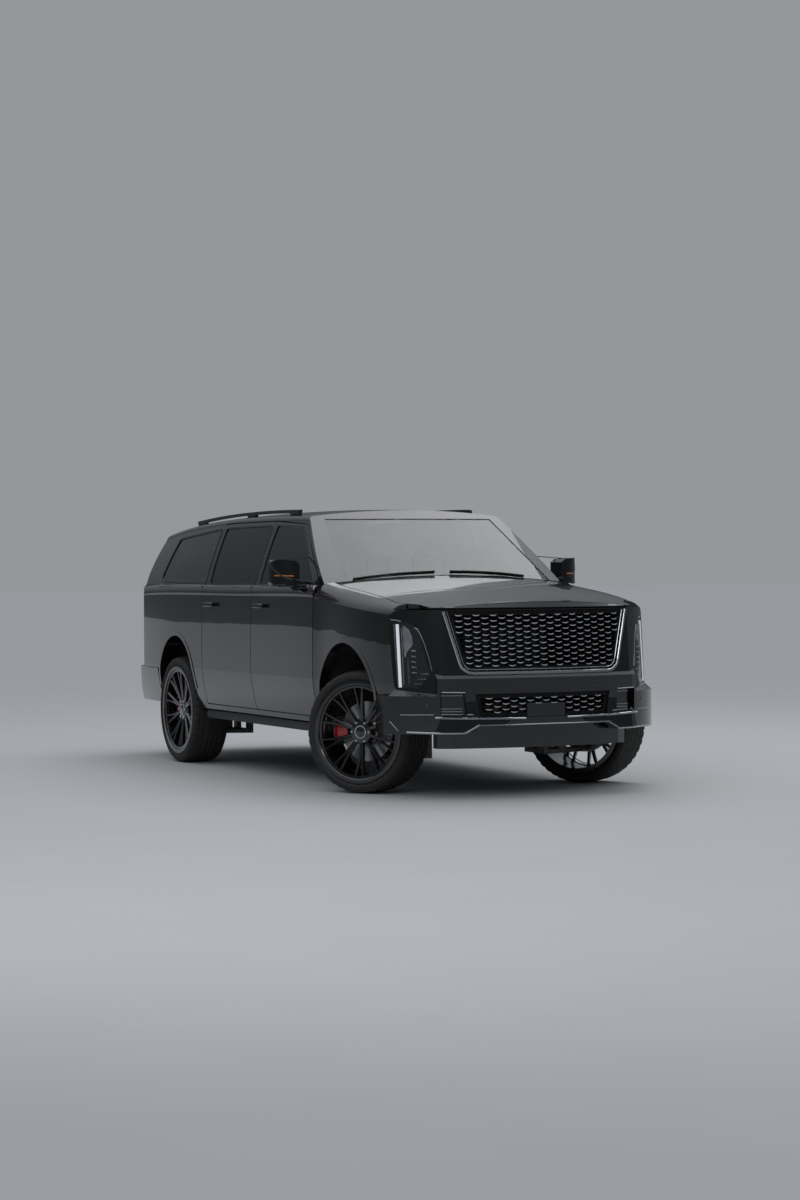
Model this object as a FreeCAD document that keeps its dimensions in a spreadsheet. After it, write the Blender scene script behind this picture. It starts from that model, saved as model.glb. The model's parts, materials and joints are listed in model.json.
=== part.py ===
import FreeCAD, Part
import math
import os
from types import SimpleNamespace
from FreeCAD import Placement, Rotation, Vector

# Full-size sport utility vehicle on a separate frame, in millimetres.
# X points forward, Y to the vehicle's left and Z up. The origin is on the ground at the middle.

SIZES = (
    # name, value
    ("overall_length", 5790),
    ("body_width", 2064),
    ("front_overhang", 1031.5),
    ("wheelbase", 3407),
    ("track_width", 1740),
    ("kingpin_offset", 80),
    ("steer_angle", 33),
    ("tyre_diameter", 837),
    ("tyre_width", 295),
    ("rim_diameter", 704),
    ("rim_width", 282),
    ("spoke_count", 10),
    ("disc_diameter", 410),
    ("disc_thickness", 30),
    ("sill_height", 452),
    ("waist_height", 760),
    ("belt_height", 1412),
    ("nose_bow", 100),
    ("nose_lean", 5.7),
    ("door_thickness", 118),
    ("skin_thickness", 16),
    ("pillar_thickness", 48),
    ("hood_thickness", 42),
    ("fascia_thickness", 60),
    ("shut_gap", 8),
    ("seal_step", 32),
    ("glass_thickness", 6),
    ("glass_inset", 4),
    ("glass_clearance", 0.3),
    ("windshield_base", 1394),
    ("windshield_bow", 120),
    ("windshield_half_width", 1050),
    ("windshield_lean", 56.5),
    ("tail_lean", 26.5),
    ("roof_half_width", 690),
    ("front_arch_radius", 457),
    ("rear_arch_radius", 440),
    ("arch_height", 570),
    ("liner_radius", 490),
    ("liner_thickness", 12),
    ("frame_half_width", 430),
    ("frame_rail_width", 60),
    ("frame_bottom", 345),
    ("frame_rail_height", 130),
    ("frame_kick_up", 135),
    ("floor_height", 560),
    ("rear_floor_height", 690),
    ("floor_thickness", 40),
    ("grille_top", 1244),
    ("grille_bottom", 846),
    ("grille_top_half", 664),
    ("grille_bottom_half", 560),
    ("grille_frame_width", 30),
    ("grille_depth", 34),
    ("cell_pitch", 58),
    ("cell_rise", 37),
    ("web_width", 4),
    ("blade_width", 6),
    ("lower_grille_top", 698),
    ("lower_grille_bottom", 540),
    ("lower_grille_half", 500),
    ("bumper_bottom", 436),
    ("dam_bottom", 335),
    ("bumper_top", 686),
    ("seat_width", 520),
    ("seat_spacing", 410),
    ("cushion_height", 330),
    ("backrest_height", 640),
    ("steering_wheel_diameter", 380),
    ("receiver_size", 50.8),
    ("receiver_wall", 6.4),
    ("receiver_height", 440),
    ("hitch_pin", 16.4),
    ("mirror_reach", 1213),
)

doc = FreeCAD.newDocument("suv")
sheet = doc.addObject("Spreadsheet::Sheet", "Sizes")
for row, (name, value) in enumerate(SIZES, start=1):
    sheet.set(f"A{row}", name)
    sheet.set(f"B{row}", str(value))
    sheet.setAlias(f"B{row}", name)
doc.recompute()
S = SimpleNamespace(**{name: float(sheet.get(name)) for name, value in SIZES})

# Places worked out from the sizes
NOSE = S.overall_length / 2
TAIL = -S.overall_length / 2
FRONT_AXLE = NOSE - S.front_overhang
REAR_AXLE = FRONT_AXLE - S.wheelbase
HALF = S.body_width / 2
HUB_HEIGHT = S.tyre_diameter / 2
WHEEL_Y = S.track_width / 2
KINGPIN_Y = WHEEL_Y - S.kingpin_offset
BELT = S.belt_height
FRONT_DOOR_FRONT = FRONT_AXLE - 530
DOOR_SPLIT = FRONT_AXLE - 1724
REAR_DOOR_BACK = REAR_AXLE + 630
HOOD_REAR = FRONT_AXLE - 415
HOOD_HALF = HALF - 170
FASCIA_REAR = FRONT_AXLE + 632
FIREWALL = FRONT_DOOR_FRONT
FLOOR_TOP = S.floor_height
FLOOR_BOTTOM = S.floor_height - S.floor_thickness
REAR_FLOOR_TOP = S.rear_floor_height
REAR_FLOOR_BOTTOM = S.rear_floor_height - S.floor_thickness
RAIL_Y = S.frame_half_width - S.frame_rail_width / 2
RAIL_TOP = S.frame_bottom + S.frame_rail_height
RAISED_BOTTOM = S.frame_bottom + S.frame_kick_up
RAISED_TOP = RAIL_TOP + S.frame_kick_up
SEAT = S.glass_clearance
RAIL_FRONT = FRONT_AXLE + 670
RAIL_REAR = REAR_AXLE - 1170
FAR = 5000

pieces = {}


def keep(name, item):
    """Store a node: a document object whose label names its file."""
    item.Label = name
    pieces[name] = item
    return item


def keep_shape(name, shape):
    """Store a node whose shape is computed by the functions below."""
    item = doc.addObject("Part::Feature", name)
    item.Shape = shape
    return keep(name, item)


# Views that turn flat coordinates into points in space
def side_view(u, v, depth):
    return Vector(u, depth, v)


def plan_view(u, v, depth):
    return Vector(u, v, depth)


def front_view(u, v, depth):
    return Vector(depth, u, v)


DEPTH_AXIS = {side_view: Vector(0, 1, 0), plan_view: Vector(0, 0, 1), front_view: Vector(1, 0, 0)}


def outline(points, view, depth=0):
    """A closed wire: two numbers are a corner, four are an arc through the first pair to the second."""
    edges = []
    start = view(*points[0][-2:], depth)
    first = start
    for point in points[1:]:
        end = view(*point[-2:], depth)
        if len(point) == 4:
            edges.append(Part.Arc(start, view(point[0], point[1], depth), end).toShape())
        else:
            edges.append(Part.makeLine(start, end))
        start = end
    if (start - first).Length > 0.001:
        edges.append(Part.makeLine(start, first))
    return Part.Wire(edges)


def prism(points, view, low, high):
    """A flat outline in one of the three views, extruded from one depth to another."""
    face = Part.Face(outline(points, view, low))
    return face.extrude(DEPTH_AXIS[view] * (high - low))


def block(x, y, z):
    """A box from three pairs of limits."""
    return Part.makeBox(x[1] - x[0], y[1] - y[0], z[1] - z[0], Vector(x[0], y[0], z[0]))


def mirrored(shape):
    """The same shape on the other side of the vehicle."""
    return shape.mirror(Vector(0, 0, 0), Vector(0, 1, 0))


def both_sides(shape):
    return Part.makeCompound([shape, mirrored(shape)])


def fused(shapes):
    whole = shapes[0].multiFuse(shapes[1:])
    return whole.removeSplitter()


def largest(shape):
    """The largest solid of a shape, without the slivers that a cut can leave."""
    return max(shape.Solids, key=lambda solid: solid.Volume)


def bar(start, end, radius):
    """A round bar between two points."""
    along = Vector(*end) - Vector(*start)
    return Part.makeCylinder(radius, along.Length, Vector(*start), along)


def polygon_area(polygon):
    """The area of a polygon, positive where its corners run anticlockwise."""
    return 0.5 * sum(a[0] * b[1] - b[0] * a[1] for a, b in zip(polygon, polygon[1:] + polygon[:1]))


def inset_outline(points, distance):
    """The corners of a straight-sided outline, moved inwards by a distance."""
    corners = [(point[-2], point[-1]) for point in points]
    turn = 1 if polygon_area(corners) > 0 else -1
    moved = []
    for index, corner in enumerate(corners):
        before = corners[index - 1]
        after = corners[(index + 1) % len(corners)]
        arrive = Vector(corner[0] - before[0], corner[1] - before[1], 0).normalize()
        leave = Vector(after[0] - corner[0], after[1] - corner[1], 0).normalize()
        first = Vector(-arrive.y, arrive.x, 0) * turn
        second = Vector(-leave.y, leave.x, 0) * turn
        step = (first + second) * (distance / (1 + first.dot(second)))
        moved.append((corner[0] + step.x, corner[1] + step.y))
    return moved


# Body envelope: lofts through a few sections, trimmed by the nose, windshield and tail outlines
FRONT_STATIONS = (
    # x, tuck of side, shoulder height, tuck of fender top edge, its height, crown height
    (FRONT_AXLE + 1031, 190, 1165, 270, 1236, 1298),
    (FRONT_AXLE + 642, 82, 1215, 172, 1283, 1340),
    (FRONT_AXLE + 397, 32, 1240, 142, 1318, 1378),
    (FRONT_AXLE + 16, 6, 1275, 127, 1362, 1430),
    (FRONT_AXLE - 530, 1, 1322, 110, 1425, 1484),
)
CABIN_STATIONS = (
    (FRONT_AXLE - 530, 1, 1330, 47, BELT, BELT + 4),
    (FRONT_AXLE - 1703, 0, 1332, 46, BELT, BELT + 4),
    (REAR_AXLE + 500, 2, 1332, 48, BELT, BELT + 4),
    (REAR_AXLE - 296, 18, 1330, 66, BELT - 1, BELT + 3),
    (REAR_AXLE - 796, 50, 1324, 104, BELT - 5, BELT - 1),
    (TAIL, 120, 1312, 176, BELT - 11, BELT - 7),
)
GREENHOUSE_STATIONS = (
    # x, half width at belt, half width at rail, rail height, crown height
    (FRONT_AXLE - 363, 912, 742, 1838, 1914),
    (FRONT_AXLE - 1063, 966, 768, 1866, 1948),
    (FRONT_AXLE - 1803, 978, 790, 1880, 1968),
    (REAR_AXLE + 440, 976, 792, 1868, 1956),
    (REAR_AXLE - 600, 948, 768, 1806, 1900),
    (TAIL, 900, 728, 1716, 1812),
)
SILL_TUCK = 62


def lower_section(station, inset, top_inset):
    """A section across the lower body: flat below, crowned above, with rounded shoulders."""
    x, tuck, shoulder, edge_tuck, edge_height, crown = station
    wide = HALF - tuck - inset
    sill = wide - SILL_TUCK
    high = wide - 8
    edge = HALF - edge_tuck - inset
    edge_height = edge_height - top_inset
    low_mid = ((sill + wide) / 2 + 9, (S.sill_height + S.waist_height) / 2)
    high_mid = ((wide + high) / 2 + 3, (S.waist_height + shoulder) / 2)
    turn_mid = ((high + edge) / 2 + 12, (shoulder + edge_height) / 2 + 10)
    points = (
        (-sill, S.sill_height),
        (sill, S.sill_height),
        (*low_mid, wide, S.waist_height),
        (*high_mid, high, shoulder),
        (*turn_mid, edge, edge_height),
        (0, crown - top_inset, -edge, edge_height),
        (-turn_mid[0], turn_mid[1], -high, shoulder),
        (-high_mid[0], high_mid[1], -wide, S.waist_height),
        (-low_mid[0], low_mid[1], -sill, S.sill_height),
    )
    return outline(points, front_view, x)


def greenhouse_section(station, inset, top_inset):
    """A section across the greenhouse, from below the belt up to the roof."""
    x, belt_half, rail_half, rail_height, crown = station
    belt = belt_half - inset
    foot = belt + 12
    rail = rail_half - inset
    top = rail - 46
    top_height = rail_height + 42 - top_inset
    glass_mid = ((belt + rail) / 2 + 9, (BELT + rail_height) / 2)
    turn_mid = (rail - 14, rail_height + 28 - top_inset)
    points = (
        (-foot, BELT - 60),
        (foot, BELT - 60),
        (belt, BELT),
        (*glass_mid, rail, rail_height - top_inset),
        (*turn_mid, top, top_height),
        (0, crown - top_inset, -top, top_height),
        (-turn_mid[0], turn_mid[1], -rail, rail_height - top_inset),
        (-glass_mid[0], glass_mid[1], -belt, BELT),
        (-foot, BELT - 60),
    )
    return outline(points, front_view, x)


def leaned(points, x, z, degrees):
    """An upright prism of a plan outline, leaned back or forward about a line across the vehicle."""
    upright = prism(points, plan_view, z - 2 * FAR, z + 2 * FAR)
    upright.rotate(Vector(x, 0, z), Vector(0, 1, 0), degrees)
    return upright


def nose_solid(inset):
    """The rounded front face seen from above, leaning back with height."""
    front = NOSE - 33 - inset
    corner = inset * 0.8
    points = (
        (-1500, -1300),
        (FRONT_AXLE + 420, -1130 + inset),
        (FRONT_AXLE + 560 - corner, -1012 + corner, FRONT_AXLE + 642 - corner, -946 + corner),
        (FRONT_AXLE + 786 - corner, -822 + corner, front - S.nose_bow, -690 + inset * 0.3),
        (front, 0, front - S.nose_bow, 690 - inset * 0.3),
        (FRONT_AXLE + 786 - corner, 822 - corner, FRONT_AXLE + 642 - corner, 946 - corner),
        (FRONT_AXLE + 560 - corner, 1012 - corner, FRONT_AXLE + 420, 1130 - inset),
        (-1500, 1300),
    )
    return leaned(points, front, 1000, -S.nose_lean)


def windshield_solid(inset):
    """All that lies behind the curved, raked windshield."""
    front = S.windshield_base
    points = (
        (-FAR, -S.windshield_half_width),
        (front - S.windshield_bow - inset, -S.windshield_half_width),
        (front - inset, 0, front - S.windshield_bow - inset, S.windshield_half_width),
        (-FAR, S.windshield_half_width),
    )
    return leaned(points, front, 1484, -S.windshield_lean)


def tail_outline(centre, inset):
    side = inset * 0.8
    return (
        (FAR, -1300),
        (centre + 700, -1130 + inset),
        (centre + 420, -1000 + side, centre + 250 + side, -930 + side),
        (centre + 150 + side, -850 + side, centre + 95 + inset, -700 + side),
        (centre + inset, 0, centre + 95 + inset, 700 - side),
        (centre + 150 + side, 850 - side, centre + 250 + side, 930 - side),
        (centre + 420, 1000 - side, centre + 700, 1130 - inset),
        (FAR, 1300),
    )


TAIL_FACE = TAIL + 85


def lower_tail_solid(inset):
    return prism(tail_outline(TAIL_FACE, inset), plan_view, 300, 1700)


def upper_tail_solid(inset):
    """All that lies ahead of the raked rear window."""
    return leaned(tail_outline(TAIL_FACE, inset), TAIL_FACE, BELT - 60, S.tail_lean)


def loft(stations, section, inset, top_inset):
    wires = [section(station, inset, top_inset) for station in stations]
    return Part.makeLoft(wires, True, False)


def front_body(inset):
    return loft(FRONT_STATIONS, lower_section, inset, inset).common(nose_solid(inset))


def cabin_body(inset):
    return loft(CABIN_STATIONS, lower_section, inset, 0).common(lower_tail_solid(inset))


def greenhouse(inset):
    whole = loft(GREENHOUSE_STATIONS, greenhouse_section, inset, inset)
    return whole.common(windshield_solid(inset)).common(upper_tail_solid(inset))


def cabin_shape(lower_inset, upper_inset):
    """Lower body and greenhouse as one solid, inset by the two wall thicknesses."""
    return cabin_body(lower_inset).fuse(greenhouse(upper_inset))


CABIN_OUTER = cabin_shape(0, 0)
CABIN_SKIN = cabin_shape(S.skin_thickness, S.skin_thickness)
CABIN_GAP = cabin_shape(S.skin_thickness + S.shut_gap, S.skin_thickness + S.shut_gap)
CABIN_INNER = cabin_shape(S.door_thickness, S.pillar_thickness)
CABIN_WALL = CABIN_OUTER.cut(CABIN_INNER)
SKIN_LAYER = CABIN_OUTER.cut(CABIN_SKIN)
UNDER_SKIN = CABIN_SKIN.cut(CABIN_INNER)
GAP_LAYER = CABIN_OUTER.cut(CABIN_GAP)
FRONT_OUTER = front_body(0)
LEFT_HALF = Part.makeBox(2 * FAR, 1300, 3000, Vector(-FAR, 0, 0))
LEFT_SKIN = SKIN_LAYER.common(LEFT_HALF)
LEFT_UNDER_SKIN = UNDER_SKIN.common(LEFT_HALF)
LEFT_GAP_LAYER = GAP_LAYER.common(LEFT_HALF)
LEFT_CABIN_GAP = CABIN_GAP.common(LEFT_HALF)

# Door outlines in the side view, cut lines of the doors
FRONT_DOOR = (
    (FRONT_DOOR_FRONT, S.sill_height + 40),
    (DOOR_SPLIT, S.sill_height + 40),
    (DOOR_SPLIT, BELT),
    (DOOR_SPLIT - 62, 1884),
    (FRONT_AXLE - 1198, 1852),
    (FRONT_DOOR_FRONT - 143, BELT + 60),
    (FRONT_DOOR_FRONT, BELT - 30),
)
REAR_DOOR = (
    (DOOR_SPLIT, S.sill_height + 40),
    (REAR_DOOR_BACK, S.sill_height + 40),
    (REAR_DOOR_BACK, BELT),
    (REAR_DOOR_BACK - 62, 1880),
    (DOOR_SPLIT - 62, 1884),
    (DOOR_SPLIT, BELT),
)
FRONT_WINDOW = (
    (FRONT_DOOR_FRONT - 175, BELT + 8),
    (DOOR_SPLIT + 58, BELT + 8),
    (DOOR_SPLIT + 6, 1845),
    (FRONT_AXLE - 1215, 1818),
)
REAR_WINDOW = (
    (DOOR_SPLIT - 58, BELT + 8),
    (REAR_DOOR_BACK + 58, BELT + 8),
    (REAR_DOOR_BACK + 6, 1840),
    (DOOR_SPLIT - 110, 1845),
)
QUARTER_WINDOW = (
    (REAR_DOOR_BACK - 62, BELT + 8),
    (REAR_AXLE - 500, BELT + 24),
    (REAR_AXLE - 545, BELT + 60),
    (REAR_AXLE - 470, 1770),
    (REAR_DOOR_BACK - 116, 1838),
)


def grown(points, distance):
    return inset_outline(points, -distance)


def left_prism(points, low=300, high=1300):
    return prism(points, side_view, low, high)


def door_panel(points, window):
    """Outer skin with a thicker inner box set back from its edges, and its window cut."""
    skin = LEFT_SKIN.common(left_prism(inset_outline(points, S.shut_gap / 2)))
    inner = LEFT_UNDER_SKIN.common(left_prism(inset_outline(points, S.seal_step)))
    return skin.fuse(inner).cut(left_prism(window)).removeSplitter()


def door_opening(points):
    """What the body loses so that the door has its shut gap all round."""
    skin = LEFT_GAP_LAYER.common(left_prism(grown(points, S.shut_gap / 2)))
    inner = LEFT_CABIN_GAP.common(left_prism(inset_outline(points, S.seal_step - S.shut_gap)))
    ledge = left_prism(points).common(block((-FAR, FAR), (700, 1300), (BELT - 10, BELT + 12)))
    return skin.fuse(inner).fuse(ledge.cut(greenhouse(S.skin_thickness + S.shut_gap)))


def pane(window, wall):
    """A window pane set a little below the outer surface."""
    return wall.common(left_prism(inset_outline(window, S.glass_clearance)))


GLASS_LAYER = cabin_shape(S.glass_inset, S.glass_inset).cut(
    cabin_shape(S.glass_inset + S.glass_thickness, S.glass_inset + S.glass_thickness))


def door_handle(x):
    """A pull handle standing off the door on two feet."""
    y = HALF - 12
    grip = block((x - 105, x + 105), (y + 22, y + 36), (1246, 1276))
    feet = [block((x + foot - 16, x + foot + 16), (y - 20, y + 24), (1250, 1272)) for foot in (-84, 84)]
    return [grip] + feet


def mirror():
    """A door mirror: a rounded head, flat towards the driver, on its foot."""
    x = FRONT_AXLE - 860
    inner = HALF + 8
    outer = S.mirror_reach
    head = prism(
        (
            (x - 50, inner),
            (x - 60, outer - 40),
            (x - 52, outer - 8, x - 20, outer),
            (x + 80, outer - 46, x + 128, inner),
        ), plan_view, MIRROR_LOW, MIRROR_HIGH)
    sweep = prism(
        (
            (inner - 10, MIRROR_LOW + 22),
            (outer - 70, MIRROR_LOW),
            (outer - 12, MIRROR_LOW + 16, outer, MIRROR_LOW + 80),
            (outer - 2, MIRROR_HIGH - 30),
            (outer - 14, MIRROR_HIGH - 6, outer - 40, MIRROR_HIGH),
            (inner + 30, MIRROR_HIGH - 8),
            (inner - 10, MIRROR_HIGH - 40),
        ), front_view, x - 100, x + 200)
    foot = block((x + 10, x + 90), (HALF - 80, inner + 40), (BELT - 36, BELT + 22))
    return [head.common(sweep), foot]


MIRROR_LOW = 1402
MIRROR_HIGH = 1594


def build_doors():
    table = (
        # name, outline, window, handle x, has a mirror
        ("front", FRONT_DOOR, FRONT_WINDOW, DOOR_SPLIT + 190, True),
        ("rear", REAR_DOOR, REAR_WINDOW, REAR_DOOR_BACK + 200, False),
    )
    for name, points, window, handle_x, has_mirror in table:
        panel = door_panel(points, window)
        extras = door_handle(handle_x)
        if has_mirror:
            extras = extras + mirror()
        panel = largest(panel.multiFuse(extras))
        glass = pane(window, GLASS_LAYER)
        keep_shape(f"{name}_left_door", panel)
        keep_shape(f"{name}_left_door_glass", glass)
        keep_shape(f"{name}_right_door", mirrored(panel))
        keep_shape(f"{name}_right_door_glass", mirrored(glass))


build_doors()

# Liftgate and its window, seen from the front
LIFTGATE = (
    (-800, 760),
    (800, 760),
    (812, 1300),
    (790, BELT),
    (711, 1735),
    (640, 1764),
    (520, 1780),
    (-520, 1780),
    (-640, 1764),
    (-711, 1735),
    (-790, BELT),
    (-812, 1300),
)
LIFTGATE_WINDOW = (
    (-742, BELT + 10),
    (742, BELT + 10),
    (652, 1712),
    (-652, 1712),
)
REAR_LIMIT = REAR_AXLE - 640


def rear_prism(points):
    return prism(points, front_view, TAIL - 100, REAR_LIMIT)


def build_liftgate():
    skin = SKIN_LAYER.common(rear_prism(inset_outline(LIFTGATE, S.shut_gap / 2)))
    inner = UNDER_SKIN.common(rear_prism(inset_outline(LIFTGATE, S.seal_step)))
    keep_shape("liftgate", skin.fuse(inner).cut(rear_prism(LIFTGATE_WINDOW)).removeSplitter())
    glass = GLASS_LAYER.common(rear_prism(inset_outline(LIFTGATE_WINDOW, S.glass_clearance)))
    keep_shape("liftgate_glass", glass)


build_liftgate()

WINDSHIELD = (
    (-835, 1430),
    (-420, 1466),
    (0, 1478),
    (420, 1466),
    (835, 1430),
    (664, 1888),
    (-664, 1888),
)


def front_prism(points):
    return prism(points, front_view, FRONT_AXLE - 1300, FRONT_AXLE)


def liftgate_opening():
    skin = GAP_LAYER.common(rear_prism(grown(LIFTGATE, S.shut_gap / 2)))
    inner = CABIN_GAP.common(rear_prism(inset_outline(LIFTGATE, S.seal_step - S.shut_gap)))
    return skin.fuse(inner)


def arch_cutter(x, radius):
    """A wheel opening, round above and straight below."""
    round_part = Part.makeCylinder(radius, 2600, Vector(x, -1300, S.arch_height), Vector(0, 1, 0))
    return round_part.fuse(block((x - radius, x + radius), (-1300, 1300), (0, S.arch_height)))


LAMP_LOW = 790
LAMP_HIGH = 1500
REAR_BUMPER_BOTTOM = 456
REAR_BUMPER_TOP = 735


def build_body_sides():
    side = CABIN_WALL.common(block((TAIL - 50, FRONT_AXLE), (S.roof_half_width, 1300), (300, 2100)))
    side = side.cut(front_body(-SEAT))
    for opening in (door_opening(FRONT_DOOR), door_opening(REAR_DOOR), liftgate_opening()):
        side = side.cut(opening)
    side = side.cut(left_prism(QUARTER_WINDOW))
    side = side.cut(front_prism(WINDSHIELD))
    side = side.cut(arch_cutter(REAR_AXLE, S.rear_arch_radius))
    lamp_recess = block((TAIL - 20, TAIL_FACE + 240), (816, 1100), (LAMP_LOW, LAMP_HIGH))
    side = side.cut(GAP_LAYER.common(lamp_recess))
    side = side.cut(block((TAIL - 50, REAR_AXLE - S.rear_arch_radius - 20), (0, 1300), (300, REAR_BUMPER_TOP + S.shut_gap / 2)))
    hinges = [block((x + SEAT, x + 12), (930, 980), (z, z + 70))
              for x in (FRONT_DOOR_FRONT - S.seal_step, DOOR_SPLIT - S.seal_step) for z in (640, 1100)]
    keep_shape("body_sides", both_sides(largest(side.multiFuse(hinges))))
    roof_zone = block((REAR_LIMIT - 600, FRONT_AXLE), (-S.roof_half_width, S.roof_half_width), (1700, 2100))
    roof = CABIN_WALL.common(roof_zone).cut(liftgate_opening()).cut(front_prism(WINDSHIELD))
    hinge_foot = 1780 - S.seal_step + SEAT
    hinges = [block((TAIL + 368, TAIL + 388), (y - 35, y + 35), (hinge_foot, hinge_foot + 20)) for y in (-400, 400)]
    keep_shape("roof", roof.multiFuse(hinges))


build_body_sides()


def build_fixed_glass():
    windshield = GLASS_LAYER.common(front_prism(inset_outline(WINDSHIELD, S.glass_clearance)))
    quarter = pane(QUARTER_WINDOW, GLASS_LAYER)
    keep_shape("fixed_glass", Part.makeCompound([windshield, quarter, mirrored(quarter)]))


build_fixed_glass()

# Hood, fenders and front bumper share the front body's envelope
HOOD = (
    (HOOD_REAR, -HOOD_HALF),
    (FRONT_AXLE + 560, -HOOD_HALF),
    (FRONT_AXLE + 690, -HOOD_HALF + 90),
    (NOSE + 50, -HOOD_HALF + 150),
    (NOSE + 50, HOOD_HALF - 150),
    (FRONT_AXLE + 690, HOOD_HALF - 90),
    (FRONT_AXLE + 560, HOOD_HALF),
    (HOOD_REAR, HOOD_HALF),
)
HOOD_LIP = S.grille_top + 16


def build_hood():
    shell = FRONT_OUTER.cut(front_body(S.hood_thickness))
    zone = prism(inset_outline(HOOD, S.shut_gap / 2), plan_view, HOOD_LIP, 1700)
    keep_shape("hood", shell.common(zone))


build_hood()


FRONT_INNER = front_body(S.fascia_thickness)
FRONT_ZONE = prism(
    (
        (FASCIA_REAR - 10, 1800),
        (FASCIA_REAR - 10, 1180),
        (FASCIA_REAR + 46, S.bumper_top),
        (FRONT_AXLE + 300, S.bumper_top),
        (FRONT_AXLE + 300, 300),
        (NOSE + 100, 300),
        (NOSE + 100, 1800),
    ), side_view, -1300, 1300)


def build_front_fenders():
    shell = FRONT_OUTER.cut(FRONT_INNER)
    shell = shell.cut(prism(grown(HOOD, S.shut_gap / 2), plan_view, HOOD_LIP - S.shut_gap, 1700))
    fender_gap = FRONT_DOOR_FRONT + S.shut_gap / 2
    fender = shell.cut(FRONT_ZONE).common(block((fender_gap, NOSE), (300, 1300), (300, 1800)))
    fender = fender.cut(arch_cutter(FRONT_AXLE, S.front_arch_radius))
    fender = fender.cut(block((0, HOOD_REAR - S.shut_gap / 2), (0, HOOD_HALF + S.shut_gap / 2), (1200, 1800)))
    keep_shape("front_fenders", both_sides(largest(fender)))
    return shell.common(FRONT_ZONE).cut(block((0, NOSE + 100), (-1300, 1300), (HOOD_LIP - S.shut_gap, 1800)))


FASCIA_SHELL = build_front_fenders()

GRILLE = (
    (-S.grille_bottom_half, S.grille_bottom),
    (S.grille_bottom_half, S.grille_bottom),
    (S.grille_top_half, S.grille_top),
    (-S.grille_top_half, S.grille_top),
)
LOWER_GRILLE = (
    (-S.lower_grille_half + 30, S.lower_grille_bottom),
    (S.lower_grille_half - 30, S.lower_grille_bottom),
    (S.lower_grille_half, S.lower_grille_top),
    (-S.lower_grille_half, S.lower_grille_top),
)
LAMP = (
    (FASCIA_REAR + 56, 735),
    (FASCIA_REAR + 170, 735),
    (FASCIA_REAR + 222, 830),
    (FASCIA_REAR + 146, 1118),
    (FASCIA_REAR + 104, 1168),
    (FASCIA_REAR + 2, 1172),
)


def bumper_plan(inset, height):
    """The bumper's outline from above: it stands further forward than the face above it."""
    points = (
        (FRONT_AXLE + 340, -HALF + 62 + inset),
        (FRONT_AXLE + 645, -HALF + 20 + inset),
        (FRONT_AXLE + 845 - inset, -835 + inset, NOSE - 100 - inset, -700 + inset),
        (NOSE - inset, 0, NOSE - 100 - inset, 700 - inset),
        (FRONT_AXLE + 845 - inset, 835 - inset, FRONT_AXLE + 645, HALF - 20 - inset),
        (FRONT_AXLE + 340, HALF - 62 - inset),
    )
    return outline(points, plan_view, height)


def bumper_solid(inset, low, high):
    face = Part.Face(bumper_plan(inset, low))
    return face.extrude(Vector(0, 0, high - low))


def bumper_ledge(low, high, depth):
    """The sloped shelf on top of the bumper, drawn back by a depth over its height."""
    return Part.makeLoft([bumper_plan(0, low), bumper_plan(depth, high)], True, True)


CHIN_HALF = 742
CHIN_TOP = 800
LEDGE_TOP = 842
VENT = (
    (556, 562),
    (724, 562),
    (724, 706),
    (568, 706),
)
CHIN_NOTCH = (
    (-560, S.bumper_bottom - 10),
    (560, S.bumper_bottom - 10),
    (473, 486),
    (-473, 486),
)


def build_front_bumper():
    """Fascia, bumper with its ledges and side vents, air dam and the brackets to the frame."""
    chin_zone = block((FRONT_AXLE, NOSE + 50), (-CHIN_HALF, CHIN_HALF), (300, 1300))
    lower = bumper_solid(0, S.bumper_bottom, S.bumper_top).fuse(bumper_ledge(S.bumper_top, 732, 46))
    chin = bumper_solid(0, S.bumper_top, CHIN_TOP).fuse(bumper_ledge(CHIN_TOP, LEDGE_TOP, 30)).common(chin_zone)
    lower = lower.fuse(chin).common(FRONT_ZONE).cut(FRONT_INNER)
    lower = lower.cut(bumper_solid(S.fascia_thickness, S.bumper_bottom - 10, S.sill_height + 10))
    dam = bumper_solid(70, S.dam_bottom, S.bumper_bottom + 60).cut(
        bumper_solid(110, S.dam_bottom - 10, S.bumper_bottom + 20))
    dam = dam.common(block((FRONT_AXLE + 700, NOSE), (-700, 700), (300, 500)))
    cover = FASCIA_SHELL.fuse(lower)
    cover = cover.cut(prism(CHIN_NOTCH, front_view, FRONT_AXLE, NOSE + 50)).fuse(dam)
    cover = cover.cut(prism(GRILLE, front_view, FRONT_AXLE, NOSE + 50))
    cover = cover.cut(prism(LOWER_GRILLE, front_view, FRONT_AXLE, NOSE + 50))
    vent = prism(VENT, front_view, FRONT_AXLE, NOSE + 50).cut(bumper_solid(26, 500, 800))
    cover = cover.cut(vent).cut(mirrored(vent))
    cover = cover.cut(prism(LAMP, side_view, 700, 1300)).cut(prism(LAMP, side_view, -1300, -700))
    cover = cover.cut(arch_cutter(FRONT_AXLE, S.front_arch_radius))
    brackets = [block((RAIL_FRONT + SEAT, NOSE - 60), (y - 25, y + 25), (RAISED_BOTTOM + 5, RAISED_BOTTOM + 52))
                for y in (-RAIL_Y, RAIL_Y)]
    keep_shape("front_bumper", largest(cover.multiFuse(brackets)))


build_front_bumper()


def clip(polygon, inside, crossing):
    """Keep the part of a polygon on one side of a line."""
    result = []
    for index, point in enumerate(polygon):
        before = polygon[index - 1]
        if inside(point) != inside(before):
            result.append(crossing(before, point))
        if inside(point):
            result.append(point)
    return result


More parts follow.
